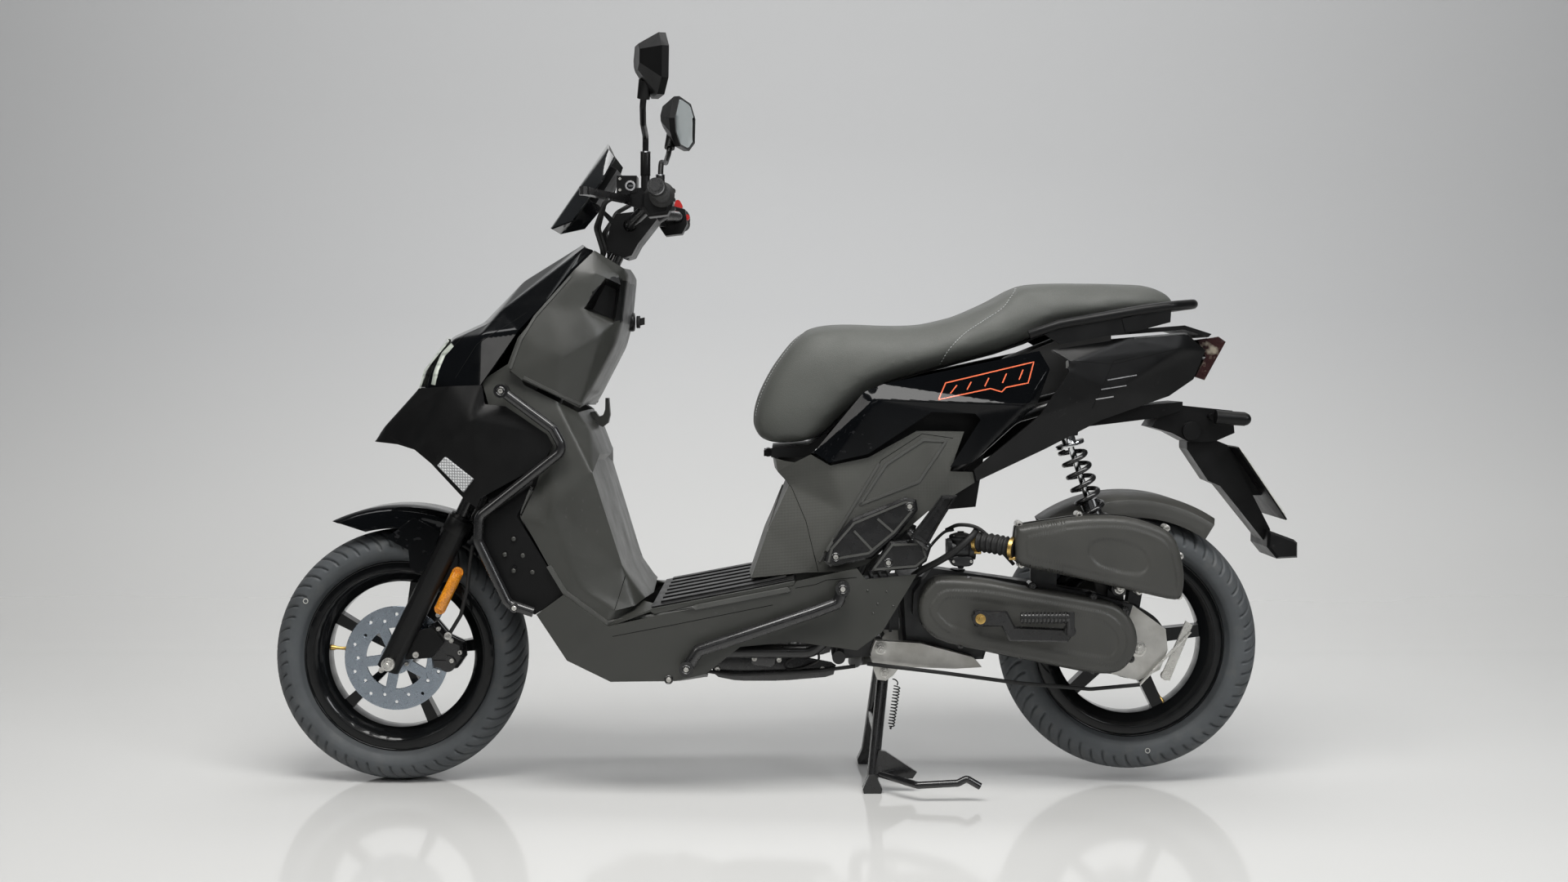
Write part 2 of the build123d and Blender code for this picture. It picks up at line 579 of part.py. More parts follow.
def bodywork_front():
    nose()
    points, faces = leg_shield_part()
    keep("leg_shield", sheet(points, faces, (-400, 0, 850), joined=True))
    wing = {
        "tc": (-770, 0, 646), "ta": (-764, -60, 642), "ua": (-750, -66, 664), "uc": (-756, 0, 668),
        "nc": (-693, 0, 742), "na": (-676, -87, 741), "e": (-608, -141, 746), "f": (-544, -166, 748),
        "g": (-538, -168, 714), "h": (-500, -172, 710), "i": (-424, -181, 660), "j": (-414, -181, 640),
        "k": (-434, -181, 606), "l": (-544, -176, 546), "m": (-552, -172, 527), "n": (-578, -164, 545),
        "o": (-640, -146, 606), "p": (-674, -128, 630), "q": (-712, -96, 638), "r": (-560, -180, 690),
    }
    faces = [
        "tc ta ua uc", "uc ua na nc", "ua e na", "ua q p e", "ua ta q", "p o r e", "e r f", "f r g",
        "g r h",
        "r o n m", "r m l", "r l k", "r k j i", "r i h",
    ]
    keep("wing_panels", sheet(wing, faces, (-500, 0, 650), joined=True))
    apron = {
        "a": (-552, -174, 502), "b": (-542, -176, 461), "c": (-512, -178, 382), "d": (-492, -178, 350),
        "e": (-446, -178, 337), "f": (-391, -178, 371), "g": (-479, -180, 514), "h": (-452, -176, 566),
        "i": (-524, -176, 520), "f2": (-396, -158, 375), "g2": (-472, -160, 514), "h2": (-462, -156, 554),
        "f0": (-400, 0, 375), "g0": (-474, 0, 514), "h0": (-466, 0, 554), "j": (-538, -160, 556),
        "k": (-447, -158, 604),
    }
    faces = [
        "a b g i", "b c g", "c d f g", "d e f", "i g h", "i h k j", "h g g2 h2", "g f f2 g2", "h2 g2 g0 h0",
        "g2 f2 f0 g0",
    ]
    stud = (apron["b"], apron["c"], apron["g"])
    studs = []
    for x, z in ((-484, 473), (-500, 445), (-483, 420)):
        corner = [(x + 5 * cos(a), z + 5 * sin(a)) for a in [k * pi / 4 for k in range(8)]]
        studs.append(on_facet(stud, corner, 0, 2.5))
    keep("lower_apron", sheet(apron, faces, (-560, 0, 450), joined=True), pair(*studs))
    signal = [(-610, 619), (-556, 580), (-575, 556), (-625, 603)]
    front = on_facet([wing[name] for name in ("r", "o", "n")], signal, 0.1, 5)
    stalk = cross_rod(800, 688, 6, -44.5, -62)
    lamp = rod((802, -74, 688), (856, -74, 684), 13) + Pos(856, -74, 684) * Sphere(12)
    keep("turn_indicators", pair(front, lamp + stalk))
    foot = {
        "a": (-470, -152, 748), "b": (-412, -150, 719), "c": (-376, -122, 698), "d": (-355, -116, 667),
        "e": (-338, -114, 621), "f": (-349, -112, 609), "g": (-290, -126, 419), "h": (-252, -140, 362),
        "c0": (-372, 0, 700), "d0": (-350, 0, 665), "e0": (-330, 0, 616), "f0": (-342, 0, 604),
        "g0": (-285, 0, 412),
        "h0": (-248, 0, 352), "i": (-446, -170, 567), "j": (-470, -183, 513), "k": (-388, -184, 366),
        "l": (-319, -185, 313), "u": (-548, -146, 756), "v": (-530, -157, 700), "w": (-492, -146, 792),
        "m": (-414, -186, 536), "n": (-344, -172, 590), "o": (-428, -188, 500),
        "p": (-366, -188, 388), "q": (-303, -184, 345), "r": (-268, -170, 352), "s": (-290, -162, 418),
        "t": (-424, -166, 640),
    }
    faces = [
        "a b t", "a w u v t", "b c d n t", "d e n", "e f n", "n f g s", "s g h r", "t n m i", "i m o j",
        "j o p k", "k p q l",
        "q r h", "l q h", "m n s p o", "p s r q", "c c0 d0 d", "d d0 e0 e", "e e0 f0 f", "f f0 g0 g",
        "g g0 h0 h",
    ]
    hook = [
        (-368.1, 695.1), (-352.7, 670.6), (-344, 667), (-334, 675), (-330.5, 690), (-333, 722),
        (-339.5, 722),
        (-340, 700), (-344, 689), (-352, 687), (-359, 697),
    ]
    keep("footwell", sheet(foot, faces, (-440, 0, 500), joined=True), plate(hook, -8, 8))


def bodywork_middle():
    skirt = {
        "a": (-443, -184, 338), "b": (-388, -186, 256), "c": (-310, -186, 218), "d": (-193, -186, 220),
        "e": (-140, -186, 232), "f": (-78, -188, 281), "g": (17, -188, 290), "h": (131, -184, 274),
        "i": (175, -180, 305),
        "j": (239, -170, 408), "k": (146, -176, 400), "l": (131, -182, 420), "m": (22, -190, 398),
        "n": (17, -190, 390),
        "o": (-314, -192, 318), "p": (-394, -191, 374), "b2": (-372, -120, 240), "c2": (-306, -120, 206),
        "d2": (-193, -120, 206), "e2": (-140, -120, 214), "b0": (-372, 0, 236), "c0": (-306, 0, 202),
        "d0": (-193, 0, 202), "e0": (-140, 0, 210), "q": (60, -184, 330),
    }
    faces = [
        "a b p", "b c o p", "c d n o", "d e f n", "f g q n", "n q m", "m q l", "q g h i", "q i k l",
        "i j k",
        "b b2 c2 c", "c c2 d2 d", "d d2 e2 e", "b2 b0 c0 c2", "c2 c0 d0 d2", "d2 d0 e0 e2",
    ]
    keep("floor_skirts", sheet(skirt, faces, (-120, 0, 330), joined=True))
    deck = plate([(-238, 352), (-232, 344), (-60, 379), (20, 396), (18, 402), (-60, 386)], -184, 184)
    for y in range(-150, 151, 50):
        deck += plate(
            [(-222, 355), (-60, 386), (4, 399), (4, 403.4), (-60, 389.8), (-222, 359.5)], y - 12, y + 12,
        )
    keep("floor_deck", deck)
    bosses = []
    for x, z in ((-173, 246), (104, 388)):
        bosses.append(cross_rod(x, z, 13, -191, -218))
    guard = bent_tube(
        [(-173, -205, 246), (-152, -205, 278), (56, -205, 347), (96, -205, 362), (104, -205, 388)], 11, 14,
    )
    guard = guard + bosses[0] + bosses[1]
    route = [
        (-506, -190, 740), (-412, -190, 670), (-392, -190, 634), (-544, -190, 514), (-546, -190, 470),
        (-492, -190, 358),
        (-447, -190, 343),
    ]
    crash = bent_tube(route, 9, 20) + cross_rod(-504, 738, 12.5, -174, -202)
    keep("guard_bars", pair(guard, crash))
    panel = {
        "a": (-15, -104, 611), "b": (-12, -104, 589), "c": (10, -108, 566), "d": (-29, -112, 482),
        "e": (-60, -120, 395),
        "a0": (-22, 0, 611), "b0": (-18, 0, 589), "c0": (2, 0, 566), "d0": (-36, 0, 482),
        "e0": (-66, 0, 393),
        "f": (40, -142, 408), "g": (48, -142, 622), "h": (84, -148, 602), "i": (153, -150, 617),
        "j": (240, -152, 665),
        "k": (326, -150, 664), "l": (300, -152, 592), "m": (342, -148, 590), "n": (346, -142, 571),
        "o": (262, -146, 520), "p": (150, -148, 424), "q": (110, -150, 520), "w": (110, -148, 410),
        "x": (20, -122, 606),
    }
    faces = [
        "a a0 b0 b", "b b0 c0 c", "c c0 d0 d", "d d0 e0 e", "a b x", "b c g x", "c d q", "d e f q",
        "c q h g",
        "q i h", "q f w p", "q p o", "q o i", "i o j", "j o l", "j l k", "l o n m",
    ]
    keep("under_seat_panel", sheet(panel, faces, (130, 0, 520), joined=True))
    one = [
        (71, 431), (78, 456), (122, 507), (218, 546), (238, 542), (241, 523), (205, 478), (158, 436),
        (84, 421),
    ]
    two = [(152, 412), (190, 468), (249, 470), (266, 462), (256, 432), (238, 419)]
    bracket = bevelled(one, -154, -166, -170, 4) + bevelled(two, -160, -174, -180, 4)
    along = Vector(0.75, 0, -0.66).normalized()
    middle = Vector(PEG_HINGE[0], PEG_Y, PEG_HINGE[1])
    for side in (-1, 1):
        bracket += rod(tuple(middle + along * 13.3 * side), tuple(middle + along * 23 * side), 6.5)
        near = middle + along * 19 * side
        bracket += rod(tuple(near), (near.X, -165, near.Z), 5)
    bracket += rod(tuple(middle - along * 19), tuple(middle + along * 19), 3)
    keep("footpeg_brackets", pair(bracket))
    peg = [(224, 478), (243, 501), (281, 552), (308, 552), (276, 500), (256, 464)]
    pad = bevelled(peg, -186, -199, -204, 3)
    pad -= plate([(238, 482), (286, 546), (300, 546), (268, 494), (254, 470)], -206, -197)
    pad += rod(tuple(middle - along * 13), tuple(middle + along * 13), 7)
    pad -= rod(tuple(middle - along * 20), tuple(middle + along * 20), 3 + RUNNING)
    pad -= rod(tuple(middle + along * 13), tuple(middle + along * 40), 9)
    pad -= rod(tuple(middle - along * 13), tuple(middle - along * 40), 9)
    keep("footpeg_left", pad)
    keep("footpeg_right", pad.mirror(Plane.XZ))
    bin_outer = [(90, 500), (352, 524), (392, 772), (300, 764), (170, 728), (92, 640)]
    bin_inner = [(94, 504), (348, 528), (388, 782), (300, 774), (168, 738), (94, 650)]
    bin_shell = plate(bin_outer, -108, 108) - plate(bin_inner, -104, 104)
    tongue = plate([(-18, 613), (91, 613), (91, 618), (-18, 618)], -37, 37)
    for side in (-1, 1):
        tongue += plate([(-38, 613), (-14, 613), (-14, 624.4), (-38, 624.4)], side * 30.5, side * 37)
    tongue += cross_rod(*SEAT_HINGE, 5, -34, 34)
    tongue -= plate(
        [(-39, 605), (-18, 605), (-18, 618.1), (-39, 618.1)], -30.4, 30.4,
    ) - cross_rod(*SEAT_HINGE, 5, -34, 34)
    keep("storage_box", bin_shell + tongue)


def bodywork_rear():
    side = {
        "a": (54, -146, 626), "b": (144, -152, 735), "c": (180, -152, 750), "d": (463, -146, 810),
        "e": (481, -152, 777),
        "f": (457, -160, 714), "g": (338, -160, 608), "h": (300, -158, 600), "i": (354, -166, 686),
        "j": (344, -166, 697),
        "k": (266, -166, 700), "l": (152, -160, 624), "m": (82, -156, 608), "n": (163, -168, 722),
        "o": (436, -174, 712),
    }
    faces = [
        "a b n m", "b c n", "c d o n", "d e o", "e f o", "n o j k", "n k l m", "o f g i", "o i j", "g h i",
    ]
    keep("side_panels", pair(sheet(side, faces, (250, -60, 700))))
    tail = {
        "a": (486, -142, 812), "b": (631, -122, 834), "c": (742, -88, 845), "d": (786, -64, 812),
        "e": (764, -62, 758),
        "f": (713, -84, 727), "g": (580, -124, 684), "h": (475, -138, 632), "i": (349, -150, 574),
        "j": (343, -156, 594),
        "k": (463, -160, 694), "l": (515, -156, 772), "m": (509, -150, 798), "n": (734, -100, 816),
        "o": (520, -154, 790),
        "p": (706, -100, 780), "q": (600, -136, 735),
    }
    faces = [
        "a b o m", "b c n o", "c d n", "d e p n", "e f p", "f g q p", "n p q o", "o q l", "o l m", "q g h",
        "q h k l", "h i j k",
    ]
    shell = sheet(tail, faces, (560, -40, 760))
    cover = [(640, 850), (742, 858), (792, 842), (786, 836), (742, 850), (640, 842)]
    keep("tail_panels", pair(shell), plate(cover, -84, 84))
    lamp = [(772, 832), (812, 838), (826, 828), (806, 792), (786, 756), (768, 762), (788, 800)]
    keep("tail_light", plate(lamp, -58, 58))
    under = [(520, 664), (600, 700), (700, 712), (745, 716), (745, 700), (700, 686), (620, 676)]
    box = [(735, 710), (842, 699), (846, 657), (809, 641), (760, 640), (728, 657), (690, 668), (700, 684)]
    arm = [(809, 645), (836, 634), (917, 475), (914, 442), (823, 556), (800, 566), (760, 626), (760, 645)]
    foot = [(905, 476), (954, 458), (HALF_LENGTH, 452), (HALF_LENGTH, 424), (922, 422), (904, 444)]
    hanger = plate(under, -58, 58) + plate(box, -44, 44) + plate(arm, -30, 30) + bevelled(
        foot, 0, 52, 60, 4,
    )
    hanger += bevelled(foot, 0, -52, -60, 4)
    for side in (-1, 1):
        hanger += cross_rod(764, 661, 17, side * 43, side * 52)
    hanger += plate([(845, 632), (935, 498), (932.5, 496.3), (842.5, 630.3)], -75, 75)
    hanger += plate([(836, 632), (843, 629), (904, 538), (884, 538)], -20, 20)
    for y in (-PLATE_HOLE, PLATE_HOLE):
        hanger -= rod((880, y, 558.4), (900, y, 571.6), 3.2)
    keep("plate_hanger", hanger)
    path = [
        (445, -142, 839), (500, -145, 858), (648, -145, 884), (706, -142, 892), (757, -96, 897),
        (757, 96, 897),
        (706, 142, 892), (648, 145, 884), (500, 145, 858), (445, 142, 839),
    ]
    rail = bent_tube(path, 9, 34)
    post = plate([(612, 868), (646, 876), (640, 846), (618, 844)], -150, -140)
    web = plate(
        [(462, 846), (500, 858), (648, 884), (702, 891), (700, 862), (648, 848), (560, 833), (500, 822)],
        -148, -142,
    )
    keep("grab_rail", rail + post + web + (post + web).mirror(Plane.XZ))


def seat():
    stations = [
        (-58, 60, 668, 690, 0.3), (-48, 88, 640, 726, 0.3), (-20, 108, 634, 778, 0.32),
        (16, 120, 637, 826, 0.34),
        (46, 126, 641, 850, 0.34), (72, 130, 662, 856, 0.34), (104, 134, 694, 858, 0.34),
        (140, 140, 730, 857, 0.34),
        (190, 144, 757, 854, 0.32), (253, 146, 776, 855, 0.3), (323, 146, 795, 872, 0.3),
        (386, 142, 812, 900, 0.3),
        (440, 136, 832, 931, 0.3), (500, 132, 860, 934, 0.3), (600, 128, 874, 933, 0.3),
        (680, 118, 882, 931, 0.34),
        (716, 100, 886, 918, 0.4), (734, 76, 890, 905, 0.4),
    ]
    keep("seat_cushion", station_loft(stations))
    base = [
        (-22, 627), (46, 632), (74, 651), (106, 685), (142, 721), (192, 749), (254, 768), (324, 787),
        (388, 804),
        (444, 823), (504, 851), (602, 866), (690, 873),
    ]
    top = [(x, z + 5) for x, z in base]
    knuckle = cross_rod(*SEAT_HINGE, 7.4, -30, 30) - cross_rod(*SEAT_HINGE, 5 + RUNNING, -31, 31)
    apron = plate([(-24, 613.5), (40, 613.5), (84, 648), (78, 660), (46, 635), (-22, 630)], -84, -77)
    keep("seat_base", plate(base + top[::-1], -84, 84) + knuckle + apron + apron.mirror(Plane.XZ))
    key = rod((-285.5, 52, 868), (-279, 52, 868), 12) + plate(
        [(-280, 861), (-270, 863), (-270, 877), (-280, 875)], 50, 54,
    )
    keep("ignition_key", key)
    keep(
        "fuel_tank",
        plate(
            [(410, 712), (560, 748), (606, 757), (606, 850), (520, 836), (430, 800), (410, 784)], -84, 84,
        ),
    )


# ---------------------------------------------------------------- engine and swingarm unit
def engine():
    """Crankcase, finned cylinder, belt-case half, pivot ears, rear hub and shock stud in one casting."""
    case_outline = [(224, 229), (372, 236), (392, 300), (380, 372), (300, 392), (215, 388)]
    block = bevelled(case_outline, 0, 62, 70, 6) + bevelled(case_outline, 0, -62, -70, 6)
    block += plate([(96, 292), (216, 286), (216, 384), (96, 372)], -40, 40)
    for fin in range(6):
        x = 112 + 17 * fin
        block += plate([(x, 284), (x + 5, 284), (x + 5, 388), (x, 388)], -48, 48)
    chain = [
        (236, 326), (238, 366), (272, 412), (440, 388), (566, 366), (640, 344), (700, 300), (704, 262),
        (690, 226),
        (650, 206), (600, 218), (550, 222), (420, 248), (292, 276),
    ]
    block += plate(chain, -112, -70)
    ear = [
        (160, 252), (168, 276), (252, 271), (349, 245), (365, 227), (315, 224), (262, 226), (214, 228),
        (202, 212),
        (188, 202), (172, 204), (166, 220),
    ]
    block += plate(ear, -95, -75) + plate(ear, 75, 95) + plate(
        [(232, 268), (349, 245), (360, 228), (232, 228)], -76, 76,
    )
    block -= cross_rod(*SWING_PIVOT, 8 + RUNNING, -100, 100)
    block += cross_rod(*STAND_PIVOT, 7, -98, 98)
    block += cross_rod(*REAR_AXLE, 12, -112, 66) + cross_rod(*REAR_AXLE, 18, 52.5, 64)
    block += cross_rod(*REAR_AXLE, 55, -71, -66) + cross_rod(*REAR_AXLE, 50, -66, -36)
    block += plate(
        [(596, 340), (630, 334), (626, 388), (602, 390)], -87, -76,
    ) + cross_rod(*SHOCK_FOOT, 6, -121, -80)
    block += plate([(452, 380), (500, 372), (500, 432), (452, 432)], -112, -104)
    for x in (462, 490):
        block += cross_rod(x, 420, 7, -139, -104)
    manifold = rod((324, -106, 412), (300, -60, 385), 10) - plate(
        [(280, 409), (360, 409), (360, 440), (280, 440)], -140, -40,
    )
    return block + manifold


def swing_unit():
    keep("engine_case", engine())
    cover = [
        (246, 330), (246, 360), (276, 404), (437, 382), (563, 361), (605, 349), (630, 320), (638, 290),
        (633, 260),
        (615, 235), (592, 226), (551, 229), (422, 255), (296, 282),
    ]
    keep("cvt_cover", bevelled(cover, -112, -146, -165, 16) + cross_rod(*KICK_PIVOT, 20, -160, -168))
    box = [
        (414, 472), (414, 496), (538, 514), (613, 513), (680, 493), (704, 469), (716, 428), (713, 372),
        (702, 363), (607, 384), (418, 427),
    ]
    keep("air_box", bevelled(box, -139, -180, -194, 10))
    duct = rod((350, -124, 462), (404, -158, 456), 18) + rod((404, -158, 456), (414, -164, 454), 16)
    carb = plate([(300, 416), (350, 416), (350, 480), (300, 480)], -134, -92)
    carb += plate([(306, 409), (336, 409), (336, 416), (306, 416)], -128, -94)
    duct -= plate(
        [(414, 400), (450, 400), (450, 520), (414, 520)], -220, -100,
    ) + plate([(280, 400), (350, 400), (350, 500), (280, 500)], -140, -80)
    keep("intake", carb, duct)
    outer = 281.0
    guard = [
        (outer, -50), (outer - 12, -72), (outer - 44, -76), (outer - 44, -72), (outer - 14, -68),
        (outer - 3, -50),
        (outer - 3, 50), (outer - 14, 68), (outer - 44, 72), (outer - 44, 76), (outer - 12, 72),
        (outer, 50),
    ]
    hugger = arc_ring(guard, REAR_AXLE, 56, 70)
    stay = plate([(506, 478), (560, 496), (610, 400), (612, 352.8), (580, 362.3), (572, 400)], -76, -72)
    keep("rear_hugger", hugger + (stay - cross_rod(*SHOCK_FOOT, 9, -80, -70)))
    header = [
        (138, 34, 284), (138, 34, 232), (138, 72, 207), (146, 118, 203), (220, 146, 206), (330, 148, 236),
        (430, 150, 300),
    ]
    pipe = bent_tube(header, 13, 16) + cross_rod(369, 266, 6, 70, 146)
    can = rod((420, 150, 298), (790, 152, 404), 46)
    cap = rod((790, 152, 404), (806, 152, 408.5), 36)
    guard_plate = rod((500, 152, 321), (700, 152, 378), 49) - rod((420, 150, 298), (790, 152, 404), 47)
    guard_plate -= plate([(400, 200), (820, 200), (820, 480), (400, 480)], 60, 168)
    keep("exhaust", pipe + can + cap + guard_plate)
    arm = [
        (338, 346), (362, 346), (398, 345), (412, 318), (506, 314), (516, 304), (506, 290), (402, 292),
        (388, 318), (340, 318),
    ]
    lever = bevelled(arm, -184, -192, -196, 3) + cross_rod(*KICK_PIVOT, 13, -168.5, -196)
    pedal = cross_rod(508, 312, 10, -190, -208) + rod(
        (505, -206, 336), (420, -206, 336), 9,
    ) + rod((508, -206, 306), (508, -206, 346), 8)
    keep("kick_lever", lever + pedal)
    arm = plate(
        [(690, 214), (706, 206), (748, 308), (736, 316)], -118, -113.5,
    ) + cross_rod(698, 216, 8, -123, -112)
    cable = bent_tube(
        [(152, -120, 238), (290, -122, 222), (430, -122, 203), (560, -122, 192), (650, -121, 200)], 3.5, 60
    )
    screw = rod((650, -121, 200), (744, -118, 296), 2.5) - plate(
        [(690, 214), (706, 206), (748, 308), (736, 316)], -119, -113,
    )
    keep("rear_brake", arm, cable, screw - arm)


def stand():
    tube = cross_rod(*STAND_PIVOT, 13, -73, 73)
    legs = None
    for side in (-1, 1):
        leg = rod((186, side * 55, 214), (161, side * 108, 10), 11)
        foot = plate([(146, 0), (178, 0), (180, 8), (168, 34), (156, 34), (144, 8)], side * 96, side * 120)
        legs = leg + foot if legs is None else legs + leg + foot
    legs += cross_rod(172.5, 104, 9, -80, 80)
    gusset = plate([(174, 78), (186, 76), (244, 38), (236, 26), (164, 30)], -113, -103)
    tang = bent_tube(
        [(172, -104, 34), (240, -174, 30), (312, -174, 34), (328, -174, 42), (352, -174, 28)], 6.5, 8,
    )
    whole = tube + legs + gusset + tang - cross_rod(*STAND_PIVOT, 7 + RUNNING, -90, 90)
    whole += cross_rod(194, 118, 4, -114, -76)
    keep("centre_stand", whole, rod((208, -107, 192), (197, -107, 124), 7))


def shock():
    dx, dz = SHOCK_TOP[0] - SHOCK_FOOT[0], SHOCK_TOP[1] - SHOCK_FOOT[1]
    length = hypot(dx, dz)
    ux, uz = dx / length, dz / length

    def along(distance):
        return (SHOCK_FOOT[0] + ux * distance, SHOCK_Y, SHOCK_FOOT[1] + uz * distance)

    neck = rod(along(length - 30), along(length - 10), 13) - cross_rod(*SHOCK_TOP, 12.9, -130, -80)
    eye = cross_rod(*SHOCK_TOP, 13, -117, -93, 6.0) + neck
    upper = eye + rod(
        along(length - 34), along(length - 28), 27,
    ) + rod(along(length - 190), along(length - 30), 6)
    keep("shock_rod", upper)
    lower_eye = cross_rod(*SHOCK_FOOT, 13, -117, -93, 7.5)
    body = rod(along(11), along(170), 17) - rod(along(30), along(171), 9) - cross_rod(
        *SHOCK_FOOT, 12.9, -130, -80,
    )
    seat_ring = rod(along(54), along(60), 27) - rod(along(50), along(64), 16.5)
    keep("shock_body", lower_eye + body + seat_ring)
    coil = rod(along(61), along(length - 35), 25, 19)
    keep("shock_spring", coil)


front_wheel()
rear_wheel()
fork()
front_fender_part()
brakes_and_reflectors()
handlebar_group()
flyscreen_part()
steering_head()
frame_parts()
bodywork_front()
bodywork_middle()
bodywork_rear()
seat()
swing_unit()
stand()
shock()
print("nodes", len(NODES))
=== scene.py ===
"""Looks for a step-through moped scooter: materials, moulded panels, seat, tyres, small parts, studio."""

import json

import bmesh
import bpy
import numpy as np
from math import cos, hypot, pi, radians, sin
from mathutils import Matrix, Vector
from mathutils.bvhtree import BVHTree


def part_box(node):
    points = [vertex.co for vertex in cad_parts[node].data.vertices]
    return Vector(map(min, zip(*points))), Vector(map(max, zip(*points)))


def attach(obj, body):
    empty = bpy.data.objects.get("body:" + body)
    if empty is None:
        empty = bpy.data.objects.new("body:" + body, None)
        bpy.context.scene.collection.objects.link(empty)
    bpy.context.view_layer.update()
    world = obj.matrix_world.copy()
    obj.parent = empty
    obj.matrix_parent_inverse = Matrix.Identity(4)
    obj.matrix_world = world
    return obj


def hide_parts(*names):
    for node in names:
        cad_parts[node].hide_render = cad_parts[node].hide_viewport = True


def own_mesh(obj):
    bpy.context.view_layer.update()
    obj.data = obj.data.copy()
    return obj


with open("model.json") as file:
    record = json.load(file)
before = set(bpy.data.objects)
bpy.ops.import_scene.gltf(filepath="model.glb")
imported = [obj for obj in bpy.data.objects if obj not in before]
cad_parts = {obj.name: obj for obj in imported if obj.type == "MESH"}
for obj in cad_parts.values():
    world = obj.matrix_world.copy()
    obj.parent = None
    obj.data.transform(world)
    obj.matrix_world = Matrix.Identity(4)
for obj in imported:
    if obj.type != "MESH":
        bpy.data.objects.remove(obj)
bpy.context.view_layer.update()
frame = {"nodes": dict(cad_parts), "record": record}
CAD = frame["nodes"]
BODY_OF = {n: b for b, ns in frame["record"]["behaviour"]["bodies"].items() for n in ns}
SLOT_OF = {s["node"]: s["material_slot"] for s in frame["record"]["subparts"]}
MM = 0.001
FRONT_AXLE = Vector((-0.724, 0, 0.237))
REAR_AXLE = Vector((0.650, 0, 0.264))
MAT = {}


# ---------------------------------------------------------------- materials
class Paint:
    """A procedural material: a Principled shader with helpers that add noise, wear and bump to it."""

    def __init__(self, name, colour, rough, shade=None, vary=None, metal=0.0, coat=0.0, specular=0.5):
        self.material = bpy.data.materials.new(name)
        self.material.use_nodes = True
        self.tree = self.material.node_tree
        self.shader = self.tree.nodes["Principled BSDF"]
        self.shader.inputs["Metallic"].default_value = metal
        self.shader.inputs["Coat Weight"].default_value = coat
        self.shader.inputs["Coat Roughness"].default_value = 0.04
        self.shader.inputs["Specular IOR Level"].default_value = specular
        self.place = self.tree.nodes.new("ShaderNodeTexCoord").outputs["Object"]
        self.colour = self.constant(colour)
        self.rough = None
        self.base_rough = rough
        self.normal = None
        MAT[name] = self
        if shade:
            self.shade(*shade)
        if vary:
            self.vary_rough(*vary)

    def node(self, kind, links=(), **settings):
        node = self.tree.nodes.new(kind)
        for key, value in settings.items():
            setattr(node, key, value)
        for socket, source in dict(links).items():
            if isinstance(source, bpy.types.NodeSocket):
                self.tree.links.new(source, node.inputs[socket])
            else:
                node.inputs[socket].default_value = source
        return node

    def constant(self, colour):
        node = self.tree.nodes.new("ShaderNodeRGB")
        node.outputs[0].default_value = (*colour, 1)
        return node.outputs[0]

    def stretched(self, scale):
        return self.node("ShaderNodeMapping", {"Vector": self.place, "Scale": scale}).outputs[0]

    def noise(self, scale, detail=3.0, stretch=None, rough=0.5):
        place = self.stretched(stretch) if stretch else self.place
        links = {"Vector": place, "Scale": scale, "Detail": detail, "Roughness": rough}
        return self.node("ShaderNodeTexNoise", links).outputs["Fac"]

    def cells(self, scale, feature="F1", stretch=None):
        place = self.stretched(stretch) if stretch else self.place
        node = self.node("ShaderNodeTexVoronoi", {"Vector": place, "Scale": scale}, feature=feature)
        return node.outputs["Distance"]

    def span(self, value, low, high, to_low=0.0, to_high=1.0):
        links = {"Value": value, "From Min": low, "From Max": high, "To Min": to_low, "To Max": to_high}
        return self.node("ShaderNodeMapRange", links).outputs[0]

    def maths(self, operation, a, b=0.0):
        return self.node("ShaderNodeMath", {0: a, 1: b}, operation=operation).outputs[0]

    def blend(self, share, colour):
        """Mixes the base colour towards colour where share is high."""
        other = colour if isinstance(colour, bpy.types.NodeSocket) else self.constant(colour)
        node = self.node("ShaderNodeMix", data_type="RGBA")
        self.tree.links.new(share, node.inputs[0])
        self.tree.links.new(self.colour, node.inputs[6])
        self.tree.links.new(other, node.inputs[7])
        self.colour = node.outputs[2]
        return self

    def shade(self, amount, scale=9.0, detail=4.0):
        """Lightens and darkens the colour by a low noise."""
        share = self.span(self.noise(scale, detail), 0.3, 0.7, 1 - amount, 1 + amount)
        node = self.node("ShaderNodeVectorMath", {0: self.colour, 3: share}, operation="SCALE")
        self.colour = node.outputs[0]
        return self

    def vary_rough(self, amount, scale=30.0, detail=5.0):
        low, high = self.base_rough - amount, self.base_rough + amount
        value = self.span(self.noise(scale, detail), 0.3, 0.7, low, high)
        self.rough = value if self.rough is None else self.maths("ADD", self.rough, value)
        return self

    def bump(self, height, strength, distance):
        links = {"Height": height, "Strength": strength, "Distance": distance}
        if self.normal is not None:
            links["Normal"] = self.normal
        self.normal = self.node("ShaderNodeBump", links).outputs[0]
        return self

    def grain(self, scale, detail, strength, distance, stretch=None):
        return self.bump(self.noise(scale, detail, stretch), strength, distance)

    def pebbles(self, scale, strength, distance, feature="F1"):
        return self.bump(self.cells(scale, feature), strength, distance)

    def waves(self, scale, directions):
        """Product of straight waves across the given directions."""
        links = {"Vector": self.place, "Scale": scale}
        bands = [self.node("ShaderNodeTexWave", links, bands_direction=d).outputs["Fac"] for d in directions]
        return bands[0] if len(bands) == 1 else self.maths("MULTIPLY", *bands)

    def scratches(self, strength=0.15, colour=None):
        """Fine hairlines: stretched noise, cut to its thin upper part."""
        line = self.noise(60, 2, (1, 14, 1.6))
        mask = self.maths("MULTIPLY", self.span(line, 0.66, 0.70), self.span(self.noise(5, 2), 0.5, 0.65))
        if colour:
            self.blend(self.maths("MULTIPLY", mask, 0.5), colour)
        return self.bump(mask, strength, 0.0001)

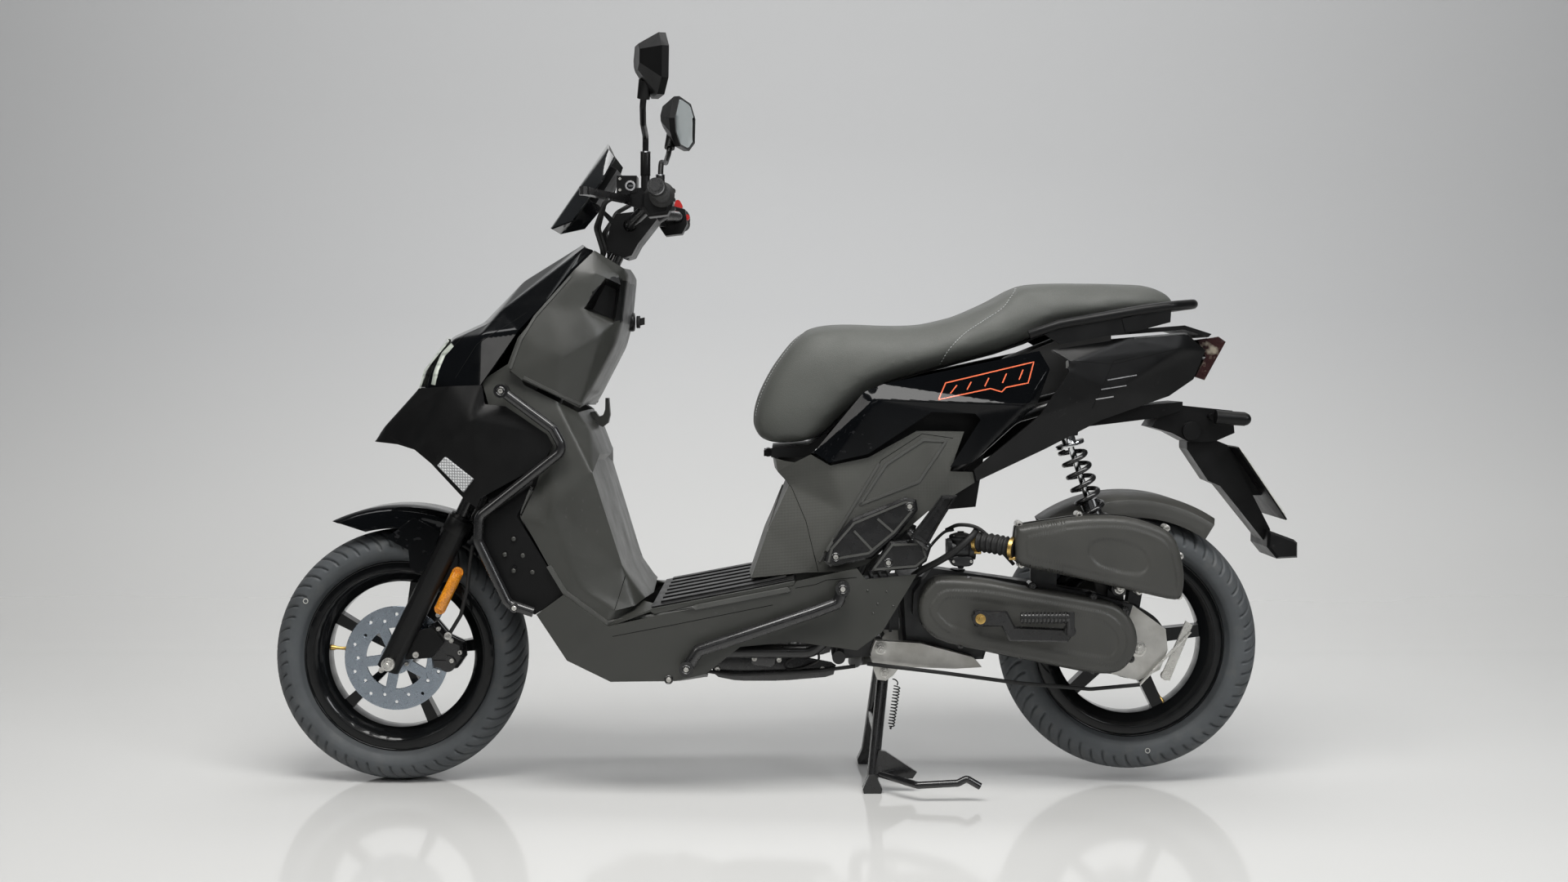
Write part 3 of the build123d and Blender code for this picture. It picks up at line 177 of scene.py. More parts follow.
    def dust(self, amount, colour=(0.16, 0.15, 0.135)):
        """Light dust that lies on faces that look up."""
        normal = self.node("ShaderNodeNewGeometry").outputs["Normal"]
        up = self.node("ShaderNodeSeparateXYZ", {0: normal}).outputs[2]
        share = self.maths("MULTIPLY", self.span(up, 0.3, 1.0), self.span(self.noise(16, 6), 0.35, 0.75))
        return self.blend(self.maths("MULTIPLY", share, amount), colour)

    def done(self):
        self.tree.links.new(self.colour, self.shader.inputs["Base Color"])
        if self.rough is None:
            self.shader.inputs["Roughness"].default_value = self.base_rough
        else:
            self.tree.links.new(self.rough, self.shader.inputs["Roughness"])
        if self.normal is not None:
            self.tree.links.new(self.normal, self.shader.inputs["Normal"])
        return self.material


def painted_panels():
    """Gloss, satin and matte finishes of the bodywork and covers, and lighter greys that paint highlights on
    ribs and edges.
    """
    paint = Paint("gloss_black", (0.0026, 0.0030, 0.0036), 0.12, (0.2,), (0.04, 40), coat=0.25, specular=0.08)
    paint.grain(260, 2, 0.03, 0.0004).scratches(0.05, (0.03, 0.03, 0.032)).dust(0.03).done()
    paint = Paint("satin_grey", (0.034, 0.035, 0.031), 0.36, (0.10,), (0.06, 22), specular=0.6)
    paint.pebbles(1500, 0.32, 0.0003).grain(420, 3, 0.10, 0.0003)
    paint.scratches(0.08, (0.06, 0.06, 0.058)).dust(0.10).done()
    paint = Paint("weave_grey", (0.056, 0.057, 0.051), 0.45, (0.12,), (0.05, 25), specular=0.5)
    paint.bump(paint.waves(155.0, "XZ"), 0.55, 0.0006).dust(0.08).done()
    paint = Paint("matte_black", (0.0050, 0.0051, 0.0053), 0.36, (0.16,), (0.07, 26), specular=0.22)
    paint.pebbles(1300, 0.22, 0.0003).scratches(0.10, (0.03, 0.03, 0.03)).dust(0.07).done()
    paint = Paint("case_grey", (0.044, 0.044, 0.040), 0.44, (0.14,), (0.06, 30), specular=0.5)
    paint.pebbles(900, 0.25, 0.0004).grain(120, 4, 0.08, 0.0006).dust(0.12).done()
    # A lighter grey for narrow strips along bevelled edges: painted highlight.
    paint = Paint("highlight_grey", (0.085, 0.087, 0.085), 0.38, (0.10, 20), (0.06, 30))
    paint.pebbles(900, 0.12, 0.0003).dust(0.05).done()
    # Lighter than the panels under it: the raised ribs are real, their lighter colour is painted highlight.
    paint = Paint("rib_grey_painted_highlight", (0.060, 0.061, 0.057), 0.40, (0.10, 20), (0.06, 30), specular=0.6)
    paint.pebbles(1300, 0.2, 0.0003).dust(0.05).done()
    paint = Paint("smoke", (0.010, 0.011, 0.012), 0.10, (0.15,), (0.03, 30), coat=1.0)
    paint.grain(60, 2, 0.02, 0.0004).dust(0.03).done()
    Paint("tank", (0.020, 0.020, 0.020), 0.5, (0.15,), (0.06, 30)).grain(200, 4, 0.15, 0.0005).done()
    paint = Paint("side_mark", (0.72, 0.12, 0.035), 0.4, (0.06, 40), (0.05, 60), coat=0.3)
    paint.grain(400, 2, 0.05, 0.0002).done()
    paint = Paint("silver_line", (0.42, 0.42, 0.43), 0.3, (0.1, 50), (0.05, 60), metal=0.6)
    paint.grain(400, 2, 0.05, 0.0002).done()
    paint = Paint("seam_dark", (0.003, 0.003, 0.003), 0.8, (0.2, 50), (0.05, 60), specular=0.2)
    paint.grain(400, 2, 0.1, 0.0002).done()
    paint = Paint("pale_plastic", (0.50, 0.50, 0.47), 0.45, (0.08, 30), (0.06, 60))
    paint.grain(300, 3, 0.1, 0.0003).dust(0.2).done()
    paint = Paint("switch_red", (0.40, 0.012, 0.010), 0.35, (0.1, 60), (0.05, 90))
    paint.grain(600, 2, 0.1, 0.0002).done()


def metals():
    """Painted, bare and plated metal of frame, engine, rims, disc and fasteners."""
    paint = Paint("black_metal", (0.008, 0.008, 0.0085), 0.27, (0.2,), (0.08, 45), coat=0.35, specular=0.6)
    paint.grain(300, 3, 0.04, 0.0003).scratches(0.06, (0.03, 0.03, 0.03)).dust(0.03).done()
    paint = Paint("frame_metal", (0.009, 0.009, 0.0095), 0.34, (0.2,), (0.08, 40), coat=0.2)
    paint.grain(240, 3, 0.08, 0.0004).dust(0.15).done()
    paint = Paint("rim_black", (0.0045, 0.005, 0.0055), 0.18, (0.2,), (0.05, 50), coat=0.4, specular=0.15)
    paint.grain(220, 2, 0.06, 0.0004).dust(0.06).done()
    paint = Paint("alloy", (0.60, 0.59, 0.56), 0.42, (0.15, 20), (0.10, 60), metal=0.75)
    paint.grain(420, 4, 0.35, 0.0005)
    paint.blend(paint.span(paint.noise(14, 6), 0.5, 0.75, 0, 0.6), (0.25, 0.24, 0.21)).done()
    paint = Paint("dark_alloy", (0.045, 0.046, 0.047), 0.42, (0.15, 26), (0.10, 60), metal=0.7)
    paint.grain(420, 4, 0.35, 0.0005).dust(0.10).done()
    paint = Paint("steel", (0.62, 0.61, 0.58), 0.30, (0.1, 60), (0.08, 120), metal=0.75)
    paint.grain(700, 3, 0.15, 0.0002).scratches(0.2).done()
    paint = Paint("brass", (0.62, 0.42, 0.14), 0.34, (0.2, 70), (0.08, 120), metal=1.0)
    paint.grain(600, 3, 0.15, 0.0002).done()
    paint = Paint("chrome", (0.62, 0.63, 0.64), 0.09, (0.05, 40), (0.03, 80), metal=1.0)
    paint.grain(240, 2, 0.02, 0.0002).done()
    paint = Paint("mirror_glass", (0.55, 0.60, 0.60), 0.03, (0.04, 20), (0.015, 30), metal=1.0)
    paint.grain(30, 2, 0.01, 0.0005).done()
    disc = Paint("disc_steel", (0.36, 0.41, 0.47), 0.26, (0.08, 30), (0.05, 90), metal=1.0)
    from_hub = disc.node("ShaderNodeVectorMath", {0: disc.place, 1: (0.724, 0.056, -0.237)}, operation="ADD")
    links = {"Vector": from_hub.outputs[0], "Scale": 190.0, "Distortion": 0.6, "Detail": 2.0}
    rings = disc.node("ShaderNodeTexWave", links, wave_type="RINGS", rings_direction="Y").outputs["Fac"]
    disc.bump(rings, 0.2, 0.0002).done()


def rubber_and_vinyl():
    """Tyres, rubber parts, the seat's cover and its thread."""
    tyre = Paint("tyre", (0.066, 0.072, 0.077), 0.60, (0.16, 14), (0.1, 60), specular=0.42)
    tyre.blend(tyre.span(tyre.noise(35, 6), 0.55, 0.8, 0.0, 0.5), (0.110, 0.110, 0.105))
    tyre.grain(900, 3, 0.25, 0.0003).grain(90, 4, 0.10, 0.0006).dust(0.10).done()
    paint = Paint("rubber", (0.012, 0.012, 0.012), 0.58, (0.2,), (0.08, 50), specular=0.4)
    paint.grain(800, 3, 0.2, 0.0003).dust(0.08).done()
    vinyl = Paint("seat_vinyl", (0.062, 0.065, 0.059), 0.54, (0.10, 7), (0.05, 35), specular=0.42)
    vinyl.pebbles(720, 0.5, 0.0004).grain(38, 4, 0.10, 0.0012).pebbles(210, 0.10, 0.0004, "F2")
    vinyl.blend(vinyl.span(vinyl.cells(720), 0.2, 0.6, 0, 0.35), (0.105, 0.109, 0.101)).dust(0.05).done()
    thread = Paint("thread", (0.46, 0.47, 0.47), 0.7, (0.15, 90), (0.05, 200))
    thread.grain(1500, 2, 0.5, 0.0002, (1, 1, 4)).done()


def lenses():
    """Amber reflectors, the ribbed front lenses and the tail light, its lens with painted reflections."""
    amber = Paint("amber", (0.90, 0.34, 0.014), 0.22, (0.18, 60), (0.05, 70), coat=0.7)
    amber.pebbles(330, 0.9, 0.0010)
    amber.blend(amber.span(amber.cells(330), 0.25, 0.7, 0, 0.55), (0.50, 0.14, 0.006)).done()
    for name, colour, rough, shade, vary, coat, scale, directions, strength, depth, dark in (
        ("clear_lens", (0.62, 0.63, 0.64), 0.14, (0.10, 40), (0.05, 60), 0.8, 62.0, "XZ", 0.8, 0.75,
         (0.16, 0.165, 0.17)),
        ("head_lens", (0.52, 0.56, 0.50), 0.12, (0.10, 30), (0.04, 50), 1.0, 16.0, "Z", 0.25, 0.55,
         (0.20, 0.22, 0.20)),
    ):
        lens = Paint(name, colour, rough, shade, vary, coat=coat)
        bars = lens.waves(scale, directions)
        height = 0.0012 if name == "clear_lens" else 0.0010
        lens.bump(bars, strength, height).blend(lens.span(bars, 0.0, 0.25, depth, 0.0), dark).done()
    tail = Paint("tail_lens", (0.030, 0.012, 0.012), 0.07, (0.15, 40), (0.03, 50), coat=1.0)
    tail.pebbles(120, 0.35, 0.0012)
    # Pale patches over the tail lens: painted reflections.
    tail.blend(tail.span(tail.noise(40, 4), 0.54, 0.66, 0, 0.7), (0.42, 0.38, 0.30)).done()


# ---------------------------------------------------------------- mesh helpers
def place(name, mesh, body, paint, replaced=(), slot=None):
    """A new object with that mesh and material, riding on a body."""
    obj = bpy.data.objects.new(name, mesh)
    bpy.context.scene.collection.objects.link(obj)
    mesh.materials.clear()
    mesh.materials.append(MAT[paint].material)
    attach(obj, body)
    if replaced:
        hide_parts(*replaced)
    return obj


def shaded(mesh, angle=35):
    """Smooth shading, kept sharp along edges that turn by more than angle."""
    bm = bmesh.new()
    bm.from_mesh(mesh)
    for face in bm.faces:
        face.smooth = True
    for edge in bm.edges:
        edge.smooth = len(edge.link_faces) == 2 and edge.calc_face_angle(0.0) < radians(angle)
    bm.to_mesh(mesh)
    bm.free()
    return mesh


def from_lists(name, points, faces, angle=35):
    mesh = bpy.data.meshes.new(name)
    mesh.from_pydata([tuple(p) for p in points], [], faces)
    mesh.validate()
    bm = bmesh.new()
    bm.from_mesh(mesh)
    bmesh.ops.recalc_face_normals(bm, faces=bm.faces)
    bm.to_mesh(mesh)
    bm.free()
    return shaded(mesh, angle)


def ring_points(centre, across, other, radius, sides):
    turns = [2 * pi * k / sides for k in range(sides)]
    return [centre + (across * cos(a) + other * sin(a)) * radius for a in turns]


def around(count):
    """Evenly spaced angles of one full turn."""
    return np.linspace(0, 2 * pi, count, endpoint=False)


class Build:
    """Collects points and faces of several small shapes into one mesh."""

    def __init__(self):
        self.points, self.faces = [], []

    def rings(self, rings, closed=False, caps=True):
        """Skins a list of equal point rings."""
        start, count = len(self.points), len(rings[0])
        for ring in rings:
            self.points.extend(ring)
        for i in range(len(rings) - 1 + closed):
            a, b = start + i * count, start + (i + 1) % len(rings) * count
            for k in range(count):
                n = (k + 1) % count
                self.faces.append((a + k, a + n, b + n, b + k))
        if caps and not closed:
            self.faces.append(tuple(range(start, start + count)))
            last = start + (len(rings) - 1) * count
            self.faces.append(tuple(reversed(range(last, last + count))))
        return self

    def lathe(self, origin, axis, profile, sides=24):
        """A turned shape: profile holds (radius, distance along axis) in metres."""
        axis = Vector(axis).normalized()
        side = axis.orthogonal().normalized()
        other = axis.cross(side)
        rings = []
        for radius, along in profile:
            centre = Vector(origin) + axis * along
            rings.append(ring_points(centre, side, other, max(radius, 1e-5), sides))
        return self.rings(rings)

    def tube(self, path, radius, sides=12, closed=False):
        """A tube along a list of points; radius is a number or one for each point."""
        path = [Vector(p) for p in path]
        normal = None
        rings = []
        for i, p in enumerate(path):
            ahead = path[(i + 1) % len(path)] if closed or i + 1 < len(path) else p
            behind = path[i - 1] if closed or i > 0 else p
            along = (ahead - behind).normalized()
            if normal is None:
                normal = along.orthogonal().normalized()
            normal = (normal - along * normal.dot(along)).normalized()
            other = along.cross(normal)
            r = radius[i] if isinstance(radius, (list, tuple)) else radius
            rings.append(ring_points(p, normal, other, r, sides))
        return self.rings(rings, closed)

    def slab(self, outline, y_in, y_out, round_by=0.002, steps=3):
        """A side-view outline (metres) between two y planes, its outer edge rounded."""
        sign = 1 if y_out > y_in else -1
        rings = [[Vector((x, y_in, z)) for x, z in outline]]
        for i in range(steps + 1):
            a = pi / 2 * i / steps
            moved = shrunk(outline, round_by * (1 - cos(a)))
            rings.append([Vector((x, y_out - sign * round_by * (1 - sin(a)), z)) for x, z in moved])
        return self.rings(rings)

    def turned(self, x, y, z, side, profile, sides):
        """A shape turned about an axis across the machine, all in mm."""
        scaled = [(r * MM, d * MM) for r, d in profile]
        return self.lathe((x * MM, y * MM, z * MM), (0, side, 0), scaled, sides)

    def put(self, name, body, paint, angle=35, replaced=(), slot=None):
        """Places the collected shapes as one named piece on a body."""
        return place(name, from_lists(name, self.points, self.faces, angle), body, paint, replaced, slot)


def shrunk(outline, distance):
    """The closed outline moved inwards."""
    pts = [Vector((p[0], p[1])) for p in outline]
    area = sum(a.x * b.y - b.x * a.y for a, b in zip(pts, pts[1:] + pts[:1]))
    side = distance if area > 0 else -distance
    out = []
    for before, here, after in zip(pts[-1:] + pts[:-1], pts, pts[1:] + pts[:1]):
        u, v = (here - before).normalized(), (after - here).normalized()
        n = Vector((-u.y - v.y, u.x + v.x))
        out.append(tuple(here + n * (side / max(n.length_squared / 2, 0.6))))
    return out


def rounded(outline, times=2, cut=0.22):
    """Corner cutting: each round replaces a corner by two points."""
    pts = [Vector(p) for p in outline]
    for _ in range(times):
        out = []
        for a, b in zip(pts, pts[1:] + pts[:1]):
            out += [a.lerp(b, cut), a.lerp(b, 1 - cut)]
        pts = out
    return [tuple(p) for p in pts]


def mm(points):
    return [tuple(c * MM for c in p) for p in points]


def curve(points, steps=8, closed=False):
    """A smooth path through points (Catmull-Rom), in the same units."""
    pts = [Vector(p) for p in points]
    n = len(pts)
    out = []
    for i in range(n if closed else n - 1):
        a = pts[i - 1] if closed or i > 0 else pts[0] * 2 - pts[1]
        b, c = pts[i], pts[(i + 1) % n]
        d = pts[(i + 2) % n] if closed or i + 2 < n else pts[-1] * 2 - pts[-2]
        for k in range(steps):
            t = k / steps
            square, cube = 2 * a - 5 * b + 4 * c - d, 3 * b - a - 3 * c + d
            out.append(0.5 * (2 * b + (c - a) * t + square * t * t + cube * t ** 3))
    if not closed:
        out.append(pts[-1])
    return out


def cad_mesh(node):
    """A welded copy of a CAD node's mesh."""
    mesh = CAD[node].data.copy()
    bm = bmesh.new()
    bm.from_mesh(mesh)
    bmesh.ops.remove_doubles(bm, verts=bm.verts, dist=0.00002)
    bm.to_mesh(mesh)
    bm.free()
    return mesh


def parts_of(node):
    """The loose parts of a CAD node as separate bmeshes, biggest first."""
    whole = bmesh.new()
    mesh = cad_mesh(node)
    whole.from_mesh(mesh)
    whole.verts.ensure_lookup_table()
    seen, groups = set(), []
    for vert in whole.verts:
        if vert.index in seen:
            continue
        group, stack = [], [vert]
        seen.add(vert.index)
        while stack:
            here = stack.pop()
            group.append(here.index)
            for edge in here.link_edges:
                there = edge.other_vert(here)
                if there.index not in seen:
                    seen.add(there.index)
                    stack.append(there)
        groups.append(group)
    out = []
    for group in sorted(groups, key=len, reverse=True):
        chosen = set(group)
        part = bmesh.new()
        index = {}
        for i in group:
            index[i] = part.verts.new(whole.verts[i].co)
        for face in whole.faces:
            if face.verts[0].index in chosen:
                part.faces.new([index[v.index] for v in face.verts])
        out.append(part)
    whole.free()
    return out


def box_of(bm):
    co = np.array([v.co for v in bm.verts])
    return co.min(0), co.max(0)


def edge_pairs(bm):
    """Vertex positions, edges as index pairs, and how many edges meet at each vertex."""
    bm.verts.index_update()
    co = np.array([v.co for v in bm.verts])
    pairs = np.array([[e.verts[0].index, e.verts[1].index] for e in bm.edges])
    return co, pairs, np.bincount(pairs.ravel(), minlength=len(co))[:, None]


def relaxed(co, pairs, degree, rounds, stay=None):
    """Positions moved towards the mean of their neighbours, apart from those that stay."""
    for _ in range(rounds):
        total = np.zeros_like(co)
        np.add.at(total, pairs[:, 0], co[pairs[:, 1]])
        np.add.at(total, pairs[:, 1], co[pairs[:, 0]])
        moved = co * 0.4 + total / degree * 0.6
        co = moved if stay is None else np.where(stay[:, None], co, moved)
    return co


def soften(bm, edge_length, rounds, keep_angle=58.0):
    """Cuts long edges, then smooths, so that creases turn soft while the panel's rim stays crisp."""
    bmesh.ops.triangulate(bm, faces=bm.faces)
    fixed = bm.verts.layers.int.new("fixed")
    held = bm.edges.layers.int.new("held")
    for edge in bm.edges:
        sharp = len(edge.link_faces) < 2 or edge.calc_face_angle(0.0) > radians(keep_angle)
        edge[held] = int(sharp)
    for _ in range(7):
        long_edges = [e for e in bm.edges if e.calc_length() > edge_length]
        if not long_edges:
            break
        bmesh.ops.subdivide_edges(bm, edges=long_edges, cuts=1, use_grid_fill=True)
        bmesh.ops.triangulate(bm, faces=[f for f in bm.faces if len(f.verts) > 3])
    bm.verts.ensure_lookup_table()
    bm.edges.ensure_lookup_table()
    for edge in bm.edges:
        if edge[held]:
            for vert in edge.verts:
                vert[fixed] = 1
    stay = np.array([v[fixed] for v in bm.verts], bool)
    co, pairs, degree = edge_pairs(bm)
    co = relaxed(co, pairs, degree, rounds, stay)
    for vert, p in zip(bm.verts, co):
        vert.co = p
    return bm


def moulded(node, paint, edge_length=0.009, rounds=5, angle=40, shift=(0, 0, 0), inner=None):
    """Replaces a facetted CAD panel by the same panel with softened creases."""
    for i, bm in enumerate(parts_of(node)):
        soften(bm, edge_length, rounds)
        bmesh.ops.translate(bm, vec=shift, verts=bm.verts)
        mesh = bpy.data.meshes.new(f"{node}_{i}")
        bm.to_mesh(mesh)
        bm.free()
        obj = place(f"{node}_skin_{i}", shaded(mesh, angle), BODY_OF[node], paint, (node,), SLOT_OF[node])
        # inner = (finish, outline, depth): faces inside the outline and nearer the middle than depth mm get
        # that finish; the leg shield uses it for painted shade in its pocket.
        if inner:
            obj.data.materials.append(MAT[inner[0]].material)
            middles = np.array([tuple(p.center) for p in obj.data.polygons]) * 1000
            chosen = inside_of(middles[:, [0, 2]], inner[1]) & (np.abs(middles[:, 1]) < inner[2])
            for polygon, second in zip(obj.data.polygons, chosen):
                polygon.material_index = int(second)


def split_node(node, choose, bevel=0.001, angle=35):
    """Replaces a CAD node by its loose parts, each with the material that choose(low, high) names."""
    for i, bm in enumerate(parts_of(node)):
        low, high = box_of(bm)
        paint = choose(low * 1000, high * 1000)
        mesh = bpy.data.meshes.new(f"{node}_{i}")
        bm.to_mesh(mesh)
        bm.free()
        if paint:
            obj = place(f"{node}_{i}", shaded(mesh, angle), BODY_OF[node], paint, (node,), SLOT_OF[node])
            soften_edges(obj, bevel, 2, angle)


def soften_edges(obj, width=0.001, segments=2, angle=30):
    """Non-destructive rounding of a piece's hard edges."""
    weld = obj.modifiers.new("weld", "WELD")
    weld.merge_threshold = 0.00002
    bevel = obj.modifiers.new("edge", "BEVEL")
    bevel.width = width
    bevel.segments = segments
    bevel.limit_method = "ANGLE"
    bevel.angle_limit = radians(angle)
    bevel.harden_normals = True
    bevel.use_clamp_overlap = True


# ---------------------------------------------------------------- surfaces to lay detail on
class Skin:
    """Finds the outer left or right surface of some pieces, to lay seams, bolts and marks on."""

    def __init__(self, *nodes):
        points, faces = [], []
        for node in nodes:
            mesh = CAD[node].data
            start = len(points)
            points += [v.co.copy() for v in mesh.vertices]
            faces += [[start + i for i in p.vertices] for p in mesh.polygons]
        self.tree = BVHTree.FromPolygons(points, faces)

    def at(self, x, z, side=-1):
        """Point and outward normal seen from that side, at x and z in mm."""
        hit, normal, _, _ = self.tree.ray_cast(Vector((x * MM, side * 0.6, z * MM)), Vector((0, -side, 0)))
        if hit is None:
            return None, None
        if normal.y * side < 0:
            normal = -normal
        return hit, normal


STRIP_TOP = 0.38  # half the width of a strip's top, as a share of its full width


def strip_on(build, skin, line, width, height=0.0004, side=-1, step=6.0, lift=0.0):
    """A narrow raised strip that follows the surface along a side-view line in mm."""
    points = []
    for a, b in zip(line, line[1:]):
        n = max(1, int(hypot(b[0] - a[0], b[1] - a[1]) / step))
        points += [(a[0] + (b[0] - a[0]) * k / n, a[1] + (b[1] - a[1]) * k / n) for k in range(n)]
    points.append(line[-1])
    rings = []
    for i, (x, z) in enumerate(points):
        hit, normal = skin.at(x, z, side)
        if hit is None:
            continue
        before, after = points[max(i - 1, 0)], points[min(i + 1, len(points) - 1)]
        along = Vector((after[0] - before[0], 0, after[1] - before[1]))
        if along.length < 1e-6:
            continue
        across = normal.cross(along.normalized()).normalized()
        top = hit + normal * (height + lift)
        low = hit + normal * (lift - 0.0006)
        foot, crown = across * width / 2, across * width * STRIP_TOP
        rings.append([low - foot, low + foot, top + crown, top - crown])
    if len(rings) > 1:
        build.rings(rings)


# ---------------------------------------------------------------- relief plates
def distance_to(points, line, closed=True):
    """Distance in the side view from each (x, z) point to a polyline."""
    line = np.array(line, float)
    ends = np.roll(line, -1, axis=0) if closed else line[1:]
    starts = line if closed else line[:-1]
    best = np.full(len(points), 1e9)
    for a, b in zip(starts, ends):
        d = b - a
        t = np.clip(((points - a) @ d) / max(d @ d, 1e-12), 0, 1)
        best = np.minimum(best, np.linalg.norm(points - (a + t[:, None] * d), axis=1))
    return best


def inside_of(points, line):
    """True where (x, z) points lie in the closed outline."""
    x, z = points[:, 0], points[:, 1]
    inside = np.zeros(len(points), bool)
    for (ax, az), (bx, bz) in zip(line, list(line[1:]) + [line[0]]):
        crosses = (az > z) != (bz > z)
        with np.errstate(divide="ignore", invalid="ignore"):
            inside ^= crosses & (x < (bx - ax) * (z - az) / (bz - az) + ax)
    return inside


def smooth_step(value, low, high):
    t = np.clip((value - low) / (high - low), 0, 1)
    return t * t * (3 - 2 * t)


SPLIT_ROUNDS, SMOOTH_ROUNDS = 8, 14  # how often a cover's face is divided, then evened out


def relief(name, outline, y_in, y_edge, y_top, round_by, body, paint, step=5.0, shapes=(), replaced=(),
           slot=None, crown=0.0):
    """A moulded cover whose face has a rounded edge, and raised or sunk shapes.

    All in mm. shapes holds (closed outline, height, slope width): height is added inside that outline.
    """
    outline = [tuple(p) for p in outline]
    dense = []
    for a, b in zip(outline, outline[1:] + outline[:1]):
        n = max(1, round(hypot(b[0] - a[0], b[1] - a[1]) / step))
        dense += [(a[0] + (b[0] - a[0]) * k / n, a[1] + (b[1] - a[1]) * k / n) for k in range(n)]
    bm = bmesh.new()
    rim = [bm.verts.new((x, 0, z)) for x, z in dense]
    face = bm.faces.new(rim)
    bmesh.ops.triangulate(bm, faces=[face])
    for _ in range(SPLIT_ROUNDS):
        long_edges = [e for e in bm.edges if e.calc_length() > step * 1.4 and not e.is_boundary]
        if not long_edges:
            break
        bmesh.ops.subdivide_edges(bm, edges=long_edges, cuts=1, use_grid_fill=True)
        bmesh.ops.triangulate(bm, faces=[f for f in bm.faces if len(f.verts) > 3])
    inner = [v for v in bm.verts if not v.is_boundary]
    for _ in range(SMOOTH_ROUNDS):
        bmesh.ops.smooth_vert(bm, verts=inner, factor=0.6, use_axis_x=True, use_axis_y=False, use_axis_z=True)
    bm.verts.index_update()
    flat = np.array([(v.co.x, v.co.z) for v in bm.verts])
    depth = distance_to(flat, outline)
    sign = 1 if y_top > y_edge else -1
    rise = abs(y_top - y_edge)
    curve_in = 1 - np.clip(depth / round_by, 0, 1)
    height = rise * np.sqrt(np.clip(1 - curve_in ** 2, 0, 1)) + crown * smooth_step(depth, 0, 60)
    for shape, lift, slope in shapes:
        edge = distance_to(flat, shape)
        height += lift * np.where(inside_of(flat, shape), smooth_step(edge, 0, slope), 0)
    for vert, h in zip(bm.verts, height):
        vert.co.y = y_edge + sign * h
    border = [e for e in bm.edges if e.is_boundary]
    wall = bmesh.ops.extrude_edge_only(bm, edges=border)["geom"]
    for vert in [g for g in wall if isinstance(g, bmesh.types.BMVert)]:
        vert.co.y = y_in
    bmesh.ops.recalc_face_normals(bm, faces=bm.faces)
    bmesh.ops.scale(bm, vec=(MM, MM, MM), verts=bm.verts)
    mesh = bpy.data.meshes.new(name)
    bm.to_mesh(mesh)
    bm.free()
    return place(name, shaded(mesh, 50), body, paint, replaced, slot)


# ---------------------------------------------------------------- wheels
TYRE_STEPS = 720
FRONT_HALF_WIDTH, FRONT_RADIUS = 58.0, 237.0  # the side profile below is drawn for the front tyre, mm


def tyre(name, node, centre, outer, half, body, count):
    """Tyre with swept tread grooves over both shoulders, and moulded rings on its side walls."""
    k, g = half / FRONT_HALF_WIDTH, outer - FRONT_RADIUS
    side = [
        (172, 27), (176, 30), (179.5, 36), (183, 46 * k), (187, 51 * k), (193, 55 * k),
        (200 + g * 0.4, 57.4 * k),
        (207 + g * 0.6, 57.2 * k), (214 + g * 0.8, 54.6 * k), (221 + g, 49 * k), (227 + g, 41 * k),
        (231.5 + g, 31.5 * k),
        (234.6 + g, 21 * k), (236.4 + g, 10 * k), (236.9 + g, 0),
    ]
    left = curve([(r, -y, 0) for r, y in side], 4)
    right = [Vector((p.x, -p.y, 0)) for p in reversed(left[:-1])]
    face = np.array([(p.x, p.y) for p in left + right])
    angle = around(TYRE_STEPS)
    r = np.repeat(face[None, :, 0], TYRE_STEPS, 0)
    y = np.repeat(face[None, :, 1], TYRE_STEPS, 0)
    turn = np.repeat(angle[:, None], len(face), 1)
    tangent = np.gradient(face, axis=0)
    normal = np.stack([np.abs(tangent[:, 1]), np.where(face[:, 1] < 0, -1, 1) * np.abs(tangent[:, 0])], 1)
    normal /= np.linalg.norm(normal, axis=1)[:, None]
    across = np.abs(y) / half
    pitch = 2 * pi / count
    sweep = 0.17 * across ** 1.6
    phase = np.where(y < 0, 0.0, pitch / 2)
    shifted = (turn + sweep + phase) / pitch
    index = np.round(shifted)
    gap = np.abs(shifted - index) * pitch * r
    long_one = (index % 2) == 0
    inner_end = np.where(long_one, 0.06, 0.34)
    outer_r = np.where(long_one, 202.0, 206.0) + g * 0.5
    width = 2.3 * smooth_step(across, inner_end, inner_end + 0.25)
    open_here = smooth_step(r, outer_r, outer_r + 3.5) * (across > inner_end)
    cut = 3.6 * open_here * (1 - smooth_step(gap, width * 0.45, width + 0.6))
    on_wall = np.abs(y) > 30
    rings = sum(0.55 * np.exp(-((r - q) / 0.9) ** 2) * on_wall for q in (182.5, 186.5, 199.0 + g * 0.3))
    move = rings * 0.6 - cut
    r = r + normal[None, :, 0] * move
    y = y + normal[None, :, 1] * move
    loop = [(172, 17), (186, 24), (210 + g, 40), (outer - 13, 0), (210 + g, -40), (186, -24), (172, -17)]
    points, n = [], len(face) + len(loop)
    for i in range(TYRE_STEPS):
        c, s = cos(angle[i]), sin(angle[i])
        ring = list(zip(r[i], y[i])) + loop
        points += [(centre.x + q * c * MM, w * MM, centre.z + q * s * MM) for q, w in ring]
    faces = []
    for i in range(TYRE_STEPS):
        j = (i + 1) % TYRE_STEPS
        faces += [(i * n + a, i * n + (a + 1) % n, j * n + (a + 1) % n, j * n + a) for a in range(n)]
    return place(name, from_lists(name, points, faces, 55), body, "tyre", (node,), "tyre")


def socket_head(radius, height, foot):
    """Profile of a screw head with its hollow, foot being how deep it is sunk."""
    return [
        (radius, foot), (radius, height * 0.75), (radius * 0.86, height), (radius * 0.56, height),
        (radius * 0.5, height * 0.45), (0, height * 0.4),
    ]


def bolt(build, x, z, y, radius, height=4.0, side=-1):
    """A socket screw head in mm, facing out to that side."""
    build.turned(x, y, z, side, socket_head(radius, height, -2), 18)


